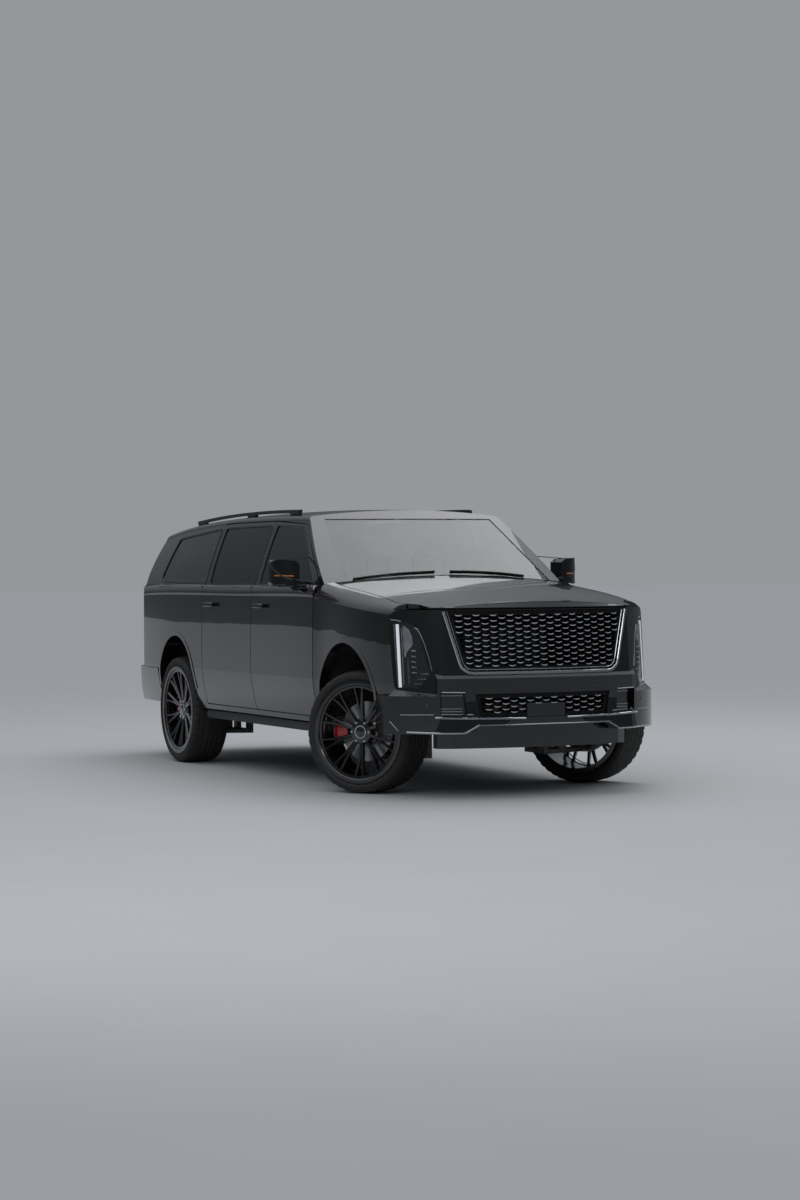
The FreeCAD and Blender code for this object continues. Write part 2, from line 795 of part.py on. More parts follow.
def clip_to(polygon, limits):
    """Clip a polygon to a four-sided outline given anticlockwise."""
    for index, corner in enumerate(limits):
        ahead = limits[(index + 1) % len(limits)]
        edge = (ahead[0] - corner[0], ahead[1] - corner[1])

        def height(point):
            return edge[0] * (point[1] - corner[1]) - edge[1] * (point[0] - corner[0])

        def crossing(a, b):
            share = height(a) / (height(a) - height(b))
            return (a[0] + share * (b[0] - a[0]), a[1] + share * (b[1] - a[1]))

        polygon = clip(polygon, lambda point: height(point) >= 0, crossing)
        if len(polygon) < 3:
            return []
    return polygon


def mesh_cells(limits, low, high, half_width):
    """Staggered cells between upright webs, each under a flat blade."""
    cells = []
    columns = int(half_width / S.cell_pitch) + 1
    rows = int((high - low) / S.cell_rise) + 2
    half_cell = (S.cell_pitch - S.web_width) / 2
    tall = S.cell_rise - S.blade_width
    for column in range(-columns, columns + 1):
        middle = column * S.cell_pitch
        stagger = (column % 2) * S.cell_rise / 2
        for line in range(-1, rows):
            base = low + line * S.cell_rise + stagger
            cell = [
                (middle - half_cell, base),
                (middle + half_cell, base),
                (middle + half_cell, base + tall),
                (middle - half_cell, base + tall),
            ]
            cell = clip_to(cell, limits)
            if cell and polygon_area(cell) > 150:
                cells.append(cell)
    return cells


def mesh_panel(limits, low, high, half_width, layer):
    """A flat plate with all its cells, cut to the curved layer that it follows."""
    outer = outline(limits, front_view, NOSE - 300)
    holes = [outline(cell, front_view, NOSE - 300) for cell in mesh_cells(
        inset_outline(limits, S.grille_frame_width), low, high, half_width)]
    plate = Part.makeFace([outer] + holes, "Part::FaceMakerBullseye").extrude(Vector(400, 0, 0))
    return plate.common(layer)


def build_grille():
    seat = S.glass_clearance
    main_limits = inset_outline(GRILLE, seat)
    lower_limits = inset_outline(LOWER_GRILLE, seat)
    main_layer = nose_solid(10).cut(nose_solid(10 + S.grille_depth))
    lower_layer = bumper_solid(8, 500, 800).cut(bumper_solid(8 + S.grille_depth, 490, 810))
    main = mesh_panel(main_limits, S.grille_bottom, S.grille_top, S.grille_top_half, main_layer)
    lower = mesh_panel(lower_limits, S.lower_grille_bottom, S.lower_grille_top, S.lower_grille_half, lower_layer)
    keep_shape("grille", Part.makeCompound([main, lower]))


build_grille()


def build_headlamps():
    seat = S.glass_clearance
    layer = nose_solid(6).cut(nose_solid(S.fascia_thickness))
    lamp = layer.common(prism(inset_outline(LAMP, seat), side_view, 700, 1300))
    lamp = lamp.common(loft(FRONT_STATIONS, lower_section, 6, 6))
    keep_shape("headlamps", both_sides(largest(lamp)))


build_headlamps()


def build_rear_bumper():
    """A hollow wrap-round cover with two brackets to the rails and a notch at the receiver."""
    body = prism(tail_outline(TAIL, 0), plan_view, REAR_BUMPER_BOTTOM, REAR_BUMPER_TOP)
    hollow = prism(tail_outline(TAIL, S.fascia_thickness), plan_view, REAR_BUMPER_BOTTOM - 10, REAR_BUMPER_TOP + 10)
    body = body.common(loft(CABIN_STATIONS, lower_section, -6, 0))
    hollow = hollow.common(loft(CABIN_STATIONS, lower_section, S.fascia_thickness, 0))
    cover = body.cut(hollow).common(block((TAIL - 20, REAR_AXLE - S.rear_arch_radius - 30), (-1300, 1300), (300, 900)))
    notch_top = S.receiver_height + S.receiver_size / 2 + S.receiver_wall + 12
    cover = cover.cut(block((TAIL - 20, TAIL + 100), (-48, 48), (300, notch_top)))
    brackets = [block((TAIL + 30, RAIL_REAR - SEAT), (y - 25, y + 25), (RAISED_BOTTOM + 5, RAISED_BOTTOM + 52))
                for y in (-RAIL_Y, RAIL_Y)]
    keep_shape("rear_bumper", largest(cover.multiFuse(brackets)))


build_rear_bumper()


def build_tail_lamps():
    seat = S.glass_clearance
    zone = block((TAIL - 20, TAIL_FACE + 240 - seat), (816 + seat, 1100), (LAMP_LOW + seat, LAMP_HIGH - seat))
    depth = S.skin_thickness + S.shut_gap - seat
    keep_shape("tail_lamps", both_sides(zone.common(CABIN_OUTER.cut(cabin_shape(depth, depth)))))


build_tail_lamps()


X_FRONT = "(Sizes.overall_length / 2 - Sizes.front_overhang)"
X_REAR = f"({X_FRONT} - Sizes.wheelbase)"


def bound_box(name, low, high):
    """A box whose six sides are expressions in the sheet's sizes."""
    box = doc.addObject("Part::Box", name)
    for side, axis, start, end in zip(("Length", "Width", "Height"), "xyz", low, high):
        box.setExpression(side, f"({end}) - ({start})")
        box.setExpression(f".Placement.Base.{axis}", start)
    return box


def mirror_of(item):
    """The same object on the vehicle's other side."""
    other = doc.addObject("Part::Mirroring", item.Name + "_mirror")
    other.Source = item
    other.Normal = Vector(0, 1, 0)
    return other


def joined(name, items):
    whole = doc.addObject("Part::MultiFuse", name)
    whole.Shapes = items
    whole.Refine = True
    return keep(name, whole)


def padded_sketch(name, points, alias):
    """A body whose side-view sketch is padded towards the right by a size of the sheet."""
    body = doc.addObject("PartDesign::Body", name)
    sketch = body.newObject("Sketcher::SketchObject", name + "_sketch")
    plane = next(item for item in body.Origin.OriginFeatures if item.Role == "XZ_Plane")
    sketch.AttachmentSupport = [(plane, "")]
    sketch.MapMode = "FlatFace"
    corners = [Vector(x, z, 0) for x, z in points]
    for start, end in zip(corners, corners[1:] + corners[:1]):
        sketch.addGeometry(Part.LineSegment(start, end), False)
    pad = body.newObject("PartDesign::Pad", name + "_pad")
    pad.Profile = sketch
    pad.setExpression("Length", alias)
    return body


def rail_outline():
    """A frame rail from the side: low between the axles, kicked up over each of them."""
    breaks = (
        # x, bottom of the rail there
        (RAIL_REAR, RAISED_BOTTOM),
        (REAR_AXLE + 300, RAISED_BOTTOM),
        (REAR_AXLE + 480, S.frame_bottom),
        (FRONT_AXLE - 480, S.frame_bottom),
        (FRONT_AXLE - 300, RAISED_BOTTOM),
        (RAIL_FRONT, RAISED_BOTTOM),
    )
    top = [(x, bottom + S.frame_rail_height) for x, bottom in reversed(breaks)]
    return list(breaks) + top


def build_chassis_frame():
    rail = padded_sketch("frame_rail", rail_outline(), "Sizes.frame_rail_width")
    rail.setExpression(".Placement.Base.y", "Sizes.frame_half_width")
    inner = "(Sizes.frame_half_width - Sizes.frame_rail_width - Sizes.glass_clearance)"
    low = "Sizes.frame_bottom"
    high = "Sizes.frame_bottom + Sizes.frame_kick_up"
    members = []
    table = (
        # name, axle it is measured from, offset ahead of it, bottom of the rails there, rise above it
        ("front_member", X_FRONT, 590, high, 5),
        ("engine_member", X_FRONT, 90, high, 5),
        ("gearbox_member", X_FRONT, -1300, low, 5),
        ("middle_member", X_REAR, 640, low, 5),
        ("axle_member", X_REAR, 210, high, 70),
        ("rear_member", X_REAR, -1170, high, 5),
    )
    for name, axle, ahead, bottom, rise in table:
        members.append(bound_box(
            name,
            (f"{axle} + {ahead}", f"-{inner}", f"{bottom} + {rise}"),
            (f"{axle} + {ahead} + 80", inner, f"{bottom} + {rise} + 45")))
    tube_half = "(Sizes.receiver_size / 2 + Sizes.receiver_wall)"
    middle = "Sizes.receiver_height"
    tube = bound_box(
        "receiver_tube",
        (f"{X_REAR} - 1330", f"-{tube_half}", f"{middle} - {tube_half}"),
        (f"{X_REAR} - 1100", tube_half, f"{middle} + {tube_half}"))
    hanger = bound_box(
        "receiver_hanger",
        (f"{X_REAR} - 1165", "-45", middle),
        (f"{X_REAR} - 1095", "45", f"{high} + 25"))
    socket = bound_box(
        "receiver_socket",
        (f"{X_REAR} - 1340", "-Sizes.receiver_size / 2", f"{middle} - Sizes.receiver_size / 2"),
        (f"{X_REAR} - 1170", "Sizes.receiver_size / 2", f"{middle} + Sizes.receiver_size / 2"))
    pin = doc.addObject("Part::Cylinder", "receiver_pin_hole")
    pin.setExpression("Radius", "Sizes.hitch_pin / 2")
    pin.setExpression("Height", f"2 * {tube_half} + 10")
    pin.Placement = Placement(Vector(0, 0, 0), Rotation(Vector(1, 0, 0), -90))
    pin.setExpression(".Placement.Base.x", f"{X_REAR} - 1260")
    pin.setExpression(".Placement.Base.y", f"-{tube_half} - 5")
    pin.setExpression(".Placement.Base.z", middle)
    whole = doc.addObject("Part::MultiFuse", "receiver_joined")
    whole.Shapes = [members.pop(), hanger, tube]
    cuts = doc.addObject("Part::MultiFuse", "receiver_cuts")
    cuts.Shapes = [socket, pin]
    receiver = doc.addObject("Part::Cut", "receiver")
    receiver.Base = whole
    receiver.Tool = cuts
    frame = doc.addObject("Part::Compound", "chassis_frame")
    frame.Links = [rail, mirror_of(rail)] + members + [receiver]
    keep("chassis_frame", frame)


build_chassis_frame()

TUNNEL_HALF = 205
TUNNEL_TOP = S.floor_height + 150


PUCK_STATIONS = (
    # x, underside of the floor, top of the rail
    (FIREWALL - 160, FLOOR_BOTTOM, RAIL_TOP),
    (DOOR_SPLIT, FLOOR_BOTTOM, RAIL_TOP),
    (REAR_DOOR_BACK + 60, FLOOR_BOTTOM, RAIL_TOP),
    (REAR_AXLE, REAR_FLOOR_BOTTOM, RAISED_TOP),
    (REAR_AXLE - 900, REAR_FLOOR_BOTTOM, RAISED_TOP),
)
REAR_FLOOR_HALF = 672
RISER = REAR_AXLE + 500


def build_floor():
    """Low floor with its tunnel in front, raised load floor behind, and rubber-mount pucks below."""
    front = block((RISER, FIREWALL), (-900, 900), (FLOOR_BOTTOM, FLOOR_TOP))
    front = front.common(cabin_body(S.door_thickness + SEAT))
    rear_half = REAR_FLOOR_HALF
    rear = block((TAIL_FACE + 130, RISER + 30), (-rear_half, rear_half), (REAR_FLOOR_BOTTOM, REAR_FLOOR_TOP))
    riser = block((RISER, RISER + 30), (-rear_half, rear_half), (FLOOR_BOTTOM, REAR_FLOOR_TOP))
    tail = block((TAIL_FACE + 110, TAIL_FACE + 140), (-rear_half, rear_half), (REAR_FLOOR_BOTTOM - 20, 745))
    tunnel = block((FIREWALL - 900, FIREWALL), (-TUNNEL_HALF, TUNNEL_HALF), (FLOOR_BOTTOM, TUNNEL_TOP))
    hollow = block((FIREWALL - 870, FIREWALL + 10), (20 - TUNNEL_HALF, TUNNEL_HALF - 20), (300, TUNNEL_TOP - 20))
    pucks = []
    for x, floor, rail in PUCK_STATIONS:
        for y in (-RAIL_Y, RAIL_Y):
            pucks.append(Part.makeCylinder(28, floor - rail - SEAT + 5, Vector(x, y, rail + SEAT)))
    keep_shape("floor_pan", fused([front, rear, riser, tail, tunnel] + pucks).cut(hollow))


build_floor()


def arch_shape(x, radius, y_low, y_high, bottom):
    """A plug the shape of a wheel opening, between two distances from the middle."""
    round_part = Part.makeCylinder(radius, y_high - y_low, Vector(x, y_low, S.arch_height), Vector(0, 1, 0))
    legs = block((x - radius, x + radius), (y_low, y_high), (0, S.arch_height))
    return round_part.fuse(legs).cut(block((x - 2 * radius, x + 2 * radius), (y_low - 1, y_high + 1), (-1, bottom)))


APRON_Y = 472
APRON_THICKNESS = 14
REAR_LINER_RADIUS = S.rear_arch_radius + 24
SUPPORT_X = FRONT_AXLE + 620


def build_wheel_liners():
    inner_side = APRON_Y + APRON_THICKNESS + SEAT
    outer = arch_shape(FRONT_AXLE, S.liner_radius + S.liner_thickness, inner_side, 1100, 470)
    front = outer.cut(arch_shape(FRONT_AXLE, S.liner_radius, APRON_Y, 1110, 0))
    front = front.common(front_body(S.fascia_thickness + S.glass_clearance))
    rear_outer = arch_shape(REAR_AXLE, REAR_LINER_RADIUS + S.liner_thickness, 673, 1100, 460)
    hollow = arch_shape(REAR_AXLE, REAR_LINER_RADIUS, 673 + S.liner_thickness, 1110, 0)
    rear = rear_outer.cut(hollow).common(CABIN_INNER)
    keep_shape("wheel_liners", Part.makeCompound([front, mirrored(front), rear, mirrored(rear)]))


build_wheel_liners()


def build_engine_bay():
    """Firewall, cowl, inner aprons with a window for the suspension, and the radiator support."""
    within = front_body(S.fascia_thickness + SEAT)
    firewall = block((FIREWALL, FIREWALL + 24), (-1000, 1000), (FLOOR_TOP + SEAT, 1390)).common(within)
    firewall = firewall.cut(block((FIREWALL - 5, FIREWALL + 40), (-190, 190), (300, TUNNEL_TOP - 20)))
    cowl = block((FIREWALL, HOOD_REAR - S.shut_gap), (20 - HOOD_HALF, HOOD_HALF - 20), (1385, 1476))
    cowl = cowl.common(front_body(10))
    hinge = block((HOOD_REAR - 20, HOOD_REAR + S.shut_gap / 2 - SEAT), (700, 760), (1408, 1428))
    apron = block((FIREWALL + 20, SUPPORT_X + 10), (APRON_Y, APRON_Y + APRON_THICKNESS), (480, 1200))
    window = block((FRONT_AXLE - 170, FRONT_AXLE + 170), (APRON_Y - 10, APRON_Y + 30), (470, 980))
    apron = apron.cut(window)
    support = block((SUPPORT_X, SUPPORT_X + 40), (-640, 640), (620, 1200))
    opening = block((SUPPORT_X - 10, SUPPORT_X + 50), (-440, 440), (660, 1130))
    carrier = block((SUPPORT_X, SUPPORT_X + 40), (-440, 440), (790, 850))
    feet = [block((SUPPORT_X, SUPPORT_X + 40), (y - 30, y + 30), (RAISED_TOP + SEAT, 630)) for y in (-RAIL_Y, RAIL_Y)]
    solids = [firewall, cowl, apron, mirrored(apron), support.cut(opening), carrier, hinge, mirrored(hinge)]
    keep_shape("engine_bay", fused(solids + feet))


build_engine_bay()


def build_engine():
    """The engine with its two mounts, and the gearbox on its own, as plain blocks."""
    engine = bound_box("engine_block", (f"{X_FRONT} - 420", "-310", "560"), (f"{X_FRONT} + 430", "310", "1120"))
    gearbox = bound_box("gearbox_block", (f"{X_FRONT} - 1270", "-170", "440"), (f"{X_FRONT} - 400", "170", "670"))
    high = "Sizes.frame_bottom + Sizes.frame_kick_up + 50 + Sizes.glass_clearance"
    low = "Sizes.frame_bottom + 50 + Sizes.glass_clearance"
    mounts = [bound_box(
        f"engine_mount_{side}", (f"{X_FRONT} + 100", str(y - 40), high), (f"{X_FRONT} + 170", str(y + 40), "570"))
        for side, y in (("left", 250), ("right", -250))]
    rear = bound_box("gearbox_mount", (f"{X_FRONT} - 1265", "-60", low), (f"{X_FRONT} - 1225", "60", "450"))
    joined("engine_and_gearbox", [engine, gearbox, rear] + mounts)


build_engine()


def build_driveline():
    """Both differentials on ears between the frame rails, half shafts and the propeller shaft."""
    reach = KINGPIN_Y - 62
    front_shafts = bar((FRONT_AXLE, -reach, HUB_HEIGHT), (FRONT_AXLE, reach, HUB_HEIGHT), 18)
    front_case = Part.makeCylinder(75, 260, Vector(FRONT_AXLE, -130, HUB_HEIGHT), Vector(0, 1, 0))
    ear_height = RAISED_BOTTOM - SEAT
    front_ears = [block((FRONT_AXLE - 40, FRONT_AXLE + 20), (y - 25, y + 25), (HUB_HEIGHT - 20, ear_height))
                  for y in (-RAIL_Y, RAIL_Y)]
    front_arm = block((FRONT_AXLE - 40, FRONT_AXLE - 10), (-RAIL_Y, RAIL_Y), (HUB_HEIGHT - 20, HUB_HEIGHT + 20))
    rear_reach = WHEEL_Y - S.kingpin_offset - 27
    case_radius = 95
    rear_case = Part.makeSphere(case_radius, Vector(REAR_AXLE, 0, HUB_HEIGHT))
    nose = Part.makeCone(45, 75, 180, Vector(REAR_AXLE + 220, 0, HUB_HEIGHT), Vector(-1, 0, 0))
    rear_shafts = [bar((REAR_AXLE, side * (case_radius + SEAT), HUB_HEIGHT), (REAR_AXLE, side * rear_reach, HUB_HEIGHT), 22)
                   for side in (-1, 1)]
    rear_arm = block((REAR_AXLE - 110, REAR_AXLE - 60), (-RAIL_Y, RAIL_Y), (HUB_HEIGHT - 20, HUB_HEIGHT + 20))
    rear_ears = [block((REAR_AXLE - 110, REAR_AXLE - 60), (y - 25, y + 25), (HUB_HEIGHT - 20, ear_height))
                 for y in (-RAIL_Y, RAIL_Y)]
    rear_carrier = fused([rear_arm] + rear_ears)
    rear_carrier = rear_carrier.cut(Part.makeSphere(case_radius + SEAT, Vector(REAR_AXLE, 0, HUB_HEIGHT)))
    shaft = bar((REAR_AXLE + 221.5, 0, HUB_HEIGHT), (FRONT_AXLE - 1271.5, 0, 480), 30)
    front = fused([front_shafts, front_case, front_arm] + front_ears)
    pieces_of_line = [front, rear_case.fuse(nose), rear_carrier, shaft] + rear_shafts
    keep_shape("driveline", Part.makeCompound(pieces_of_line))


build_driveline()


def build_exhaust():
    """A pipe along the right rail over the cross members, with a muffler hung from the rail."""
    level = 478
    y = -290
    inner = RAIL_Y - S.frame_rail_width / 2 - SEAT
    pipe = bar((FRONT_AXLE - 900, y, level), (REAR_AXLE - 1050, y, level), 28)
    muffler = block((REAR_AXLE + 760, REAR_AXLE + 1290), (-350, -205), (400, 506))
    hangers = [block((x, x + 24), (-inner, y), (high - 24, high)) for x, high in (
        (REAR_AXLE + 900, 460), (REAR_AXLE + 1150, 460), (REAR_AXLE - 1000, 500))]
    keep_shape("exhaust", fused([pipe, muffler] + hangers))


build_exhaust()
TANK_SIDE = "Sizes.frame_half_width - Sizes.frame_rail_width - Sizes.glass_clearance"
keep("fuel_tank", bound_box("tank_box", (f"{X_FRONT} - 2500", "90", "360"), (f"{X_FRONT} - 1400", TANK_SIDE, "500")))


def local_outline(points):
    """Points of a revolve profile: distance outwards along the axle, radius."""
    return outline(points, lambda u, v, depth: Vector(0, u, v))


def revolved(points):
    return Part.Face(local_outline(points)).revolve(Vector(0, 0, 0), Vector(0, 1, 0), 360)


RIM_RADIUS = S.rim_diameter / 2
BARREL_RADIUS = RIM_RADIUS - 22
HALF_RIM = S.rim_width / 2
HALF_TYRE = S.tyre_width / 2
TYRE_RADIUS = S.tyre_diameter / 2


def wheel_tyre():
    """Tyre section in straight facets: beads, walls, shoulders and a slightly crowned tread."""
    sidewall = (RIM_RADIUS + TYRE_RADIUS) / 2
    seat = BARREL_RADIUS + S.glass_clearance
    lip = HALF_RIM - 13
    right = (
        # distance outwards along the axle, radius
        (lip, seat),
        (lip, RIM_RADIUS + 2),
        (HALF_TYRE, sidewall),
        (HALF_TYRE - 14, TYRE_RADIUS - 6),
        (HALF_TYRE - 60, TYRE_RADIUS),
    )
    left = [(-across, radius) for across, radius in reversed(right)]
    return revolved(list(right) + left)


WEB_OUT = 128
WEB_HUB = 86
WEB_THICKNESS = 30
HUB_RADIUS = 88
DISC_BACK = -12


def wheel_rim():
    """Barrel with lips, a dished web cut into split spokes, hub and brake disc."""
    barrel = revolved((
        (-HALF_RIM, BARREL_RADIUS - 14),
        (HALF_RIM, BARREL_RADIUS - 14),
        (HALF_RIM, RIM_RADIUS),
        (HALF_RIM - 12, RIM_RADIUS),
        (HALF_RIM - 13, BARREL_RADIUS),
        (-HALF_RIM + 13, BARREL_RADIUS),
        (-HALF_RIM + 12, RIM_RADIUS),
        (-HALF_RIM, RIM_RADIUS),
    ))
    web = revolved((
        (WEB_HUB - WEB_THICKNESS, 30),
        (WEB_OUT - WEB_THICKNESS, BARREL_RADIUS - 10),
        (WEB_OUT, BARREL_RADIUS - 10),
        (WEB_HUB, 60),
        (WEB_HUB, 30),
    ))
    reach = BARREL_RADIUS - 22
    count = int(S.spoke_count)
    step = 2 * math.pi / count
    windows = []
    for index in range(count):
        middle = index * step
        wide = ring_window(middle + step / 2, 120, reach, 0.11, 0.185)
        narrow = ring_window(middle, 165, reach, 0.02, 0.082)
        windows.append(wide)
        windows.append(narrow)
    web = web.cut(Part.makeCompound(windows))
    hub = Part.makeCylinder(HUB_RADIUS, WEB_HUB - 18 + 6, Vector(0, 18, 0), Vector(0, 1, 0))
    disc = Part.makeCylinder(S.disc_diameter / 2, S.disc_thickness, Vector(0, DISC_BACK, 0), Vector(0, 1, 0))
    cap = Part.makeCylinder(46, 12, Vector(0, WEB_HUB, 0), Vector(0, 1, 0)).cut(
        Part.makeCylinder(36, 6, Vector(0, WEB_HUB + 6, 0), Vector(0, 1, 0)))
    return fused([barrel, web, hub, disc, cap])


def ring_window(angle, inner, outer, inner_half, outer_half):
    """A four-sided window through the web, given by radii and half angles."""
    corners = (
        (inner, angle - inner_half),
        (outer, angle - outer_half),
        (outer, angle + outer_half),
        (inner, angle + inner_half),
    )
    flat = [(radius * math.cos(turn), radius * math.sin(turn)) for radius, turn in corners]
    return prism(flat, side_view, 0, 200)


def knuckle():
    """Hub carrier with its bearing and the brake caliper, inboard of the wheel."""
    middle = -S.kingpin_offset
    upright = block((-48, 48), (middle - 26, middle + 24), (-165, 200))
    bearing = Part.makeCylinder(58, DISC_BACK - S.glass_clearance - middle, Vector(0, middle, 0), Vector(0, 1, 0))
    slot = S.disc_diameter / 2 + 5
    caliper = Part.Face(outline((
        (-50, 132),
        (-50, 248),
        (58, 248),
        (58, 132),
        (DISC_BACK + S.disc_thickness + 6, 132),
        (DISC_BACK + S.disc_thickness + 6, slot),
        (DISC_BACK - 6, slot),
        (DISC_BACK - 6, 132),
    ), lambda u, v, depth: Vector(-v, u, 0)))
    caliper.rotate(Vector(0, 0, 0), Vector(0, 1, 0), -23)
    caliper = caliper.revolve(Vector(0, 0, 0), Vector(0, 1, 0), 46)
    bracket = block((-190, -20), (middle - 10, middle + 14), (-40, 40))
    pad = block((-190, -140), (middle - 10, -40), (-40, 40))
    return fused([upright, bearing, bracket, pad, caliper])


def corner_placement(x, side, steered):
    """Placement of a left-hand wheel part at one corner: turned about the kingpin if steered."""
    turn = Rotation(Vector(0, 0, 1), 0 if side > 0 else 180)
    hub = Placement(Vector(x, side * WHEEL_Y, HUB_HEIGHT), turn)
    if not steered:
        return hub
    pivot = Vector(x, side * KINGPIN_Y, 0)
    return Placement(Vector(0, 0, 0), Rotation(Vector(0, 0, 1), S.steer_angle), pivot).multiply(hub)


def build_wheels():
    rim = wheel_rim()
    tyre = wheel_tyre()
    carrier = knuckle()
    # on the right side the part is turned half round, so its caliper is mirrored to stay behind
    other_carrier = carrier.mirror(Vector(0, 0, 0), Vector(1, 0, 0))
    table = (
        # name, axle, side, steered
        ("front_left", FRONT_AXLE, 1, True),
        ("front_right", FRONT_AXLE, -1, True),
        ("rear_left", REAR_AXLE, 1, False),
        ("rear_right", REAR_AXLE, -1, False),
    )
    rear_carriers = []
    for name, x, side, steered in table:
        place = corner_placement(x, side, steered)
        for kind, shape in (("rim", rim), ("tyre", tyre)):
            placed = shape.copy()
            placed.Placement = place.multiply(placed.Placement)
            keep_shape(f"{name}_{kind}", placed)
        placed = (carrier if side > 0 else other_carrier).copy()
        placed.Placement = place.multiply(placed.Placement)
        if steered:
            keep_shape(f"{name}_knuckle", placed)
        else:
            rear_carriers.append(placed)
    return rear_carriers


REAR_CARRIERS = build_wheels()


def wishbone(x, tip_y, height, spread, thickness):
    """A flat suspension arm from the frame rail out to the upright."""
    root = S.frame_half_width + S.glass_clearance
    points = (
        (x - spread, root),
        (x + spread, root),
        (x + spread, root + 40),
        (x + 36, tip_y - 20),
        (x + 20, tip_y),
        (x - 20, tip_y),
        (x - 36, tip_y - 20),
        (x - spread, root + 40),
    )
    return prism(points, plan_view, height, height + thickness)


def build_suspension():
    """Arms, springs and frame brackets; the rear pair carries its hub carriers."""
    low = HUB_HEIGHT - 165 - SEAT - 30
    high = HUB_HEIGHT + 200 + SEAT
    root = (S.frame_half_width + SEAT, 468)
    arm_tip = KINGPIN_Y + 20
    lower = wishbone(FRONT_AXLE, arm_tip, low, 150, 30)
    upper = wishbone(FRONT_AXLE, arm_tip, high, 130, 24)
    bracket = block((FRONT_AXLE - 150, FRONT_AXLE - 60), root, (low, 560))
    other_bracket = block((FRONT_AXLE + 60, FRONT_AXLE + 150), root, (low, 560))
    tower = block((FRONT_AXLE - 60, FRONT_AXLE + 60), root, (500, 960))
    shelf = block((FRONT_AXLE - 60, FRONT_AXLE + 125), (S.frame_half_width + SEAT, 600), (930, 960))
    spring = bar((FRONT_AXLE + 72, 600, low + 20), (FRONT_AXLE + 72, 540, 940), 44)
    front = fused([lower, upper, bracket, other_bracket, tower, shelf, spring])
    inboard = WHEEL_Y - S.kingpin_offset
    rear_lower = wishbone(REAR_AXLE, inboard + 20, low, 170, 30)
    rear_root = [block((REAR_AXLE + x, REAR_AXLE + x + 70), root, (low, 560)) for x in (-170, 100)]
    rear_spring = bar((REAR_AXLE - 90, 570, low + 20), (REAR_AXLE - 90, 570, REAR_FLOOR_BOTTOM - SEAT), 58)
    rear_strut = block((REAR_AXLE - 40, REAR_AXLE + 40), (inboard - 26, inboard + 20), (low, HUB_HEIGHT - 160))
    rear = fused([rear_lower, rear_spring, rear_strut, REAR_CARRIERS[0]] + rear_root)
    keep_shape("suspension", Part.makeCompound([front, mirrored(front), rear, mirrored(rear)]))


build_suspension()


def seat(x, y, width, floor, cushion_top, back_top):
    """A seat facing forward: base, cushion, reclined backrest and head restraint."""
    cushion = block((x, x + 500), (y - width / 2, y + width / 2), (cushion_top - 170, cushion_top))
    base = block((x + 60, x + 430), (y - width / 2 + 60, y + width / 2 - 60), (floor + SEAT, cushion_top - 160))
    back = prism(
        (
            (x - 10, cushion_top - 120),
            (x + 120, cushion_top - 120),
            (x - 20, back_top),
            (x - 130, back_top),
        ), side_view, y - width / 2 + 10, y + width / 2 - 10)
    rest = prism(
        (
            (x - 125, back_top + 25),
            (x - 25, back_top + 25),
            (x - 45, back_top + 190),
            (x - 125, back_top + 190),
        ), side_view, y - 130, y + 130)
    posts = block((x - 90, x - 70), (y - 70, y + 70), (back_top - 10, back_top + 40))
    return fused([base, cushion, back, rest, posts])


def build_seats():
    width = S.seat_width
    front_x = DOOR_SPLIT + 60
    second_x = DOOR_SPLIT - 850
    third_x = REAR_AXLE + 150
    keep_shape("front_seats", both_sides(seat(front_x, S.seat_spacing, width, FLOOR_TOP, 930, 1440)))
    keep_shape("second_row_seats", both_sides(seat(second_x, S.seat_spacing, width, FLOOR_TOP, 950, 1450)))
    keep_shape("third_row_seats", both_sides(seat(third_x, 325, 620, REAR_FLOOR_TOP, 970, 1430)))


build_seats()


def build_dashboard():
    rear = FIREWALL - 420
    desk = prism(
        (
            (FIREWALL - SEAT, 900),
            (FIREWALL - SEAT, 1330),
            (rear + 60, 1330),
            (rear, 1290),
            (rear + 10, 1120),
            (rear + 90, 900),
        ), side_view, -960, 960).common(cabin_shape(S.door_thickness + S.shut_gap, S.pillar_thickness + S.shut_gap))
    centre = block((rear - 300, FIREWALL - 60), (-130, 130), (TUNNEL_TOP + SEAT, 960))
    tilt = Vector(-0.9, 0, 0.42)
    hub = Vector(rear - 110, S.seat_spacing, 1150)
    column = Part.makeCylinder(32, 230, hub, tilt * -1)
    radius = S.steering_wheel_diameter / 2 - 16
    ring = Part.makeTorus(radius, 16, hub, tilt)
    spokes = [Part.makeCylinder(14, radius, hub, direction) for direction in (
        Vector(0, 1, 0), Vector(0, -1, 0), tilt.cross(Vector(0, 1, 0)))]
    boss = Part.makeCylinder(60, 40, hub + tilt.normalize() * -30, tilt)
    keep_shape("dashboard", fused([desk, centre, column, ring, boss] + spokes))


build_dashboard()


def build_roof_rails():
    top = greenhouse(-36)
    under = greenhouse(-14)
    skin = greenhouse(-S.glass_clearance)
    long_zone = block((REAR_AXLE - 300, FRONT_AXLE - 1560), (676, 712), (1700, 2200))
    rail = top.cut(under).common(long_zone)
    feet_x = (REAR_AXLE - 300, REAR_AXLE + 800, FRONT_AXLE - 1720)
    feet = [top.cut(skin).common(block((x, x + 160), (680, 708), (1700, 2200))) for x in feet_x]
    keep_shape("roof_rails", both_sides(fused([rail] + feet)))


build_roof_rails()


def build_running_boards():
    step = prism(
        (
            (855, 372),
            (955, 380),
            (968, 410),
            (955, 440),
            (855, 440),
        ), front_view, REAR_AXLE + 560, FRONT_AXLE - 600)
    root = S.frame_half_width + S.glass_clearance
    brackets = [block((x, x + 60), (root, 860), (385, 425)) for x in (
        REAR_AXLE + 700, DOOR_SPLIT, FRONT_AXLE - 800)]
    keep_shape("running_boards", both_sides(fused([step] + brackets)))


build_running_boards()

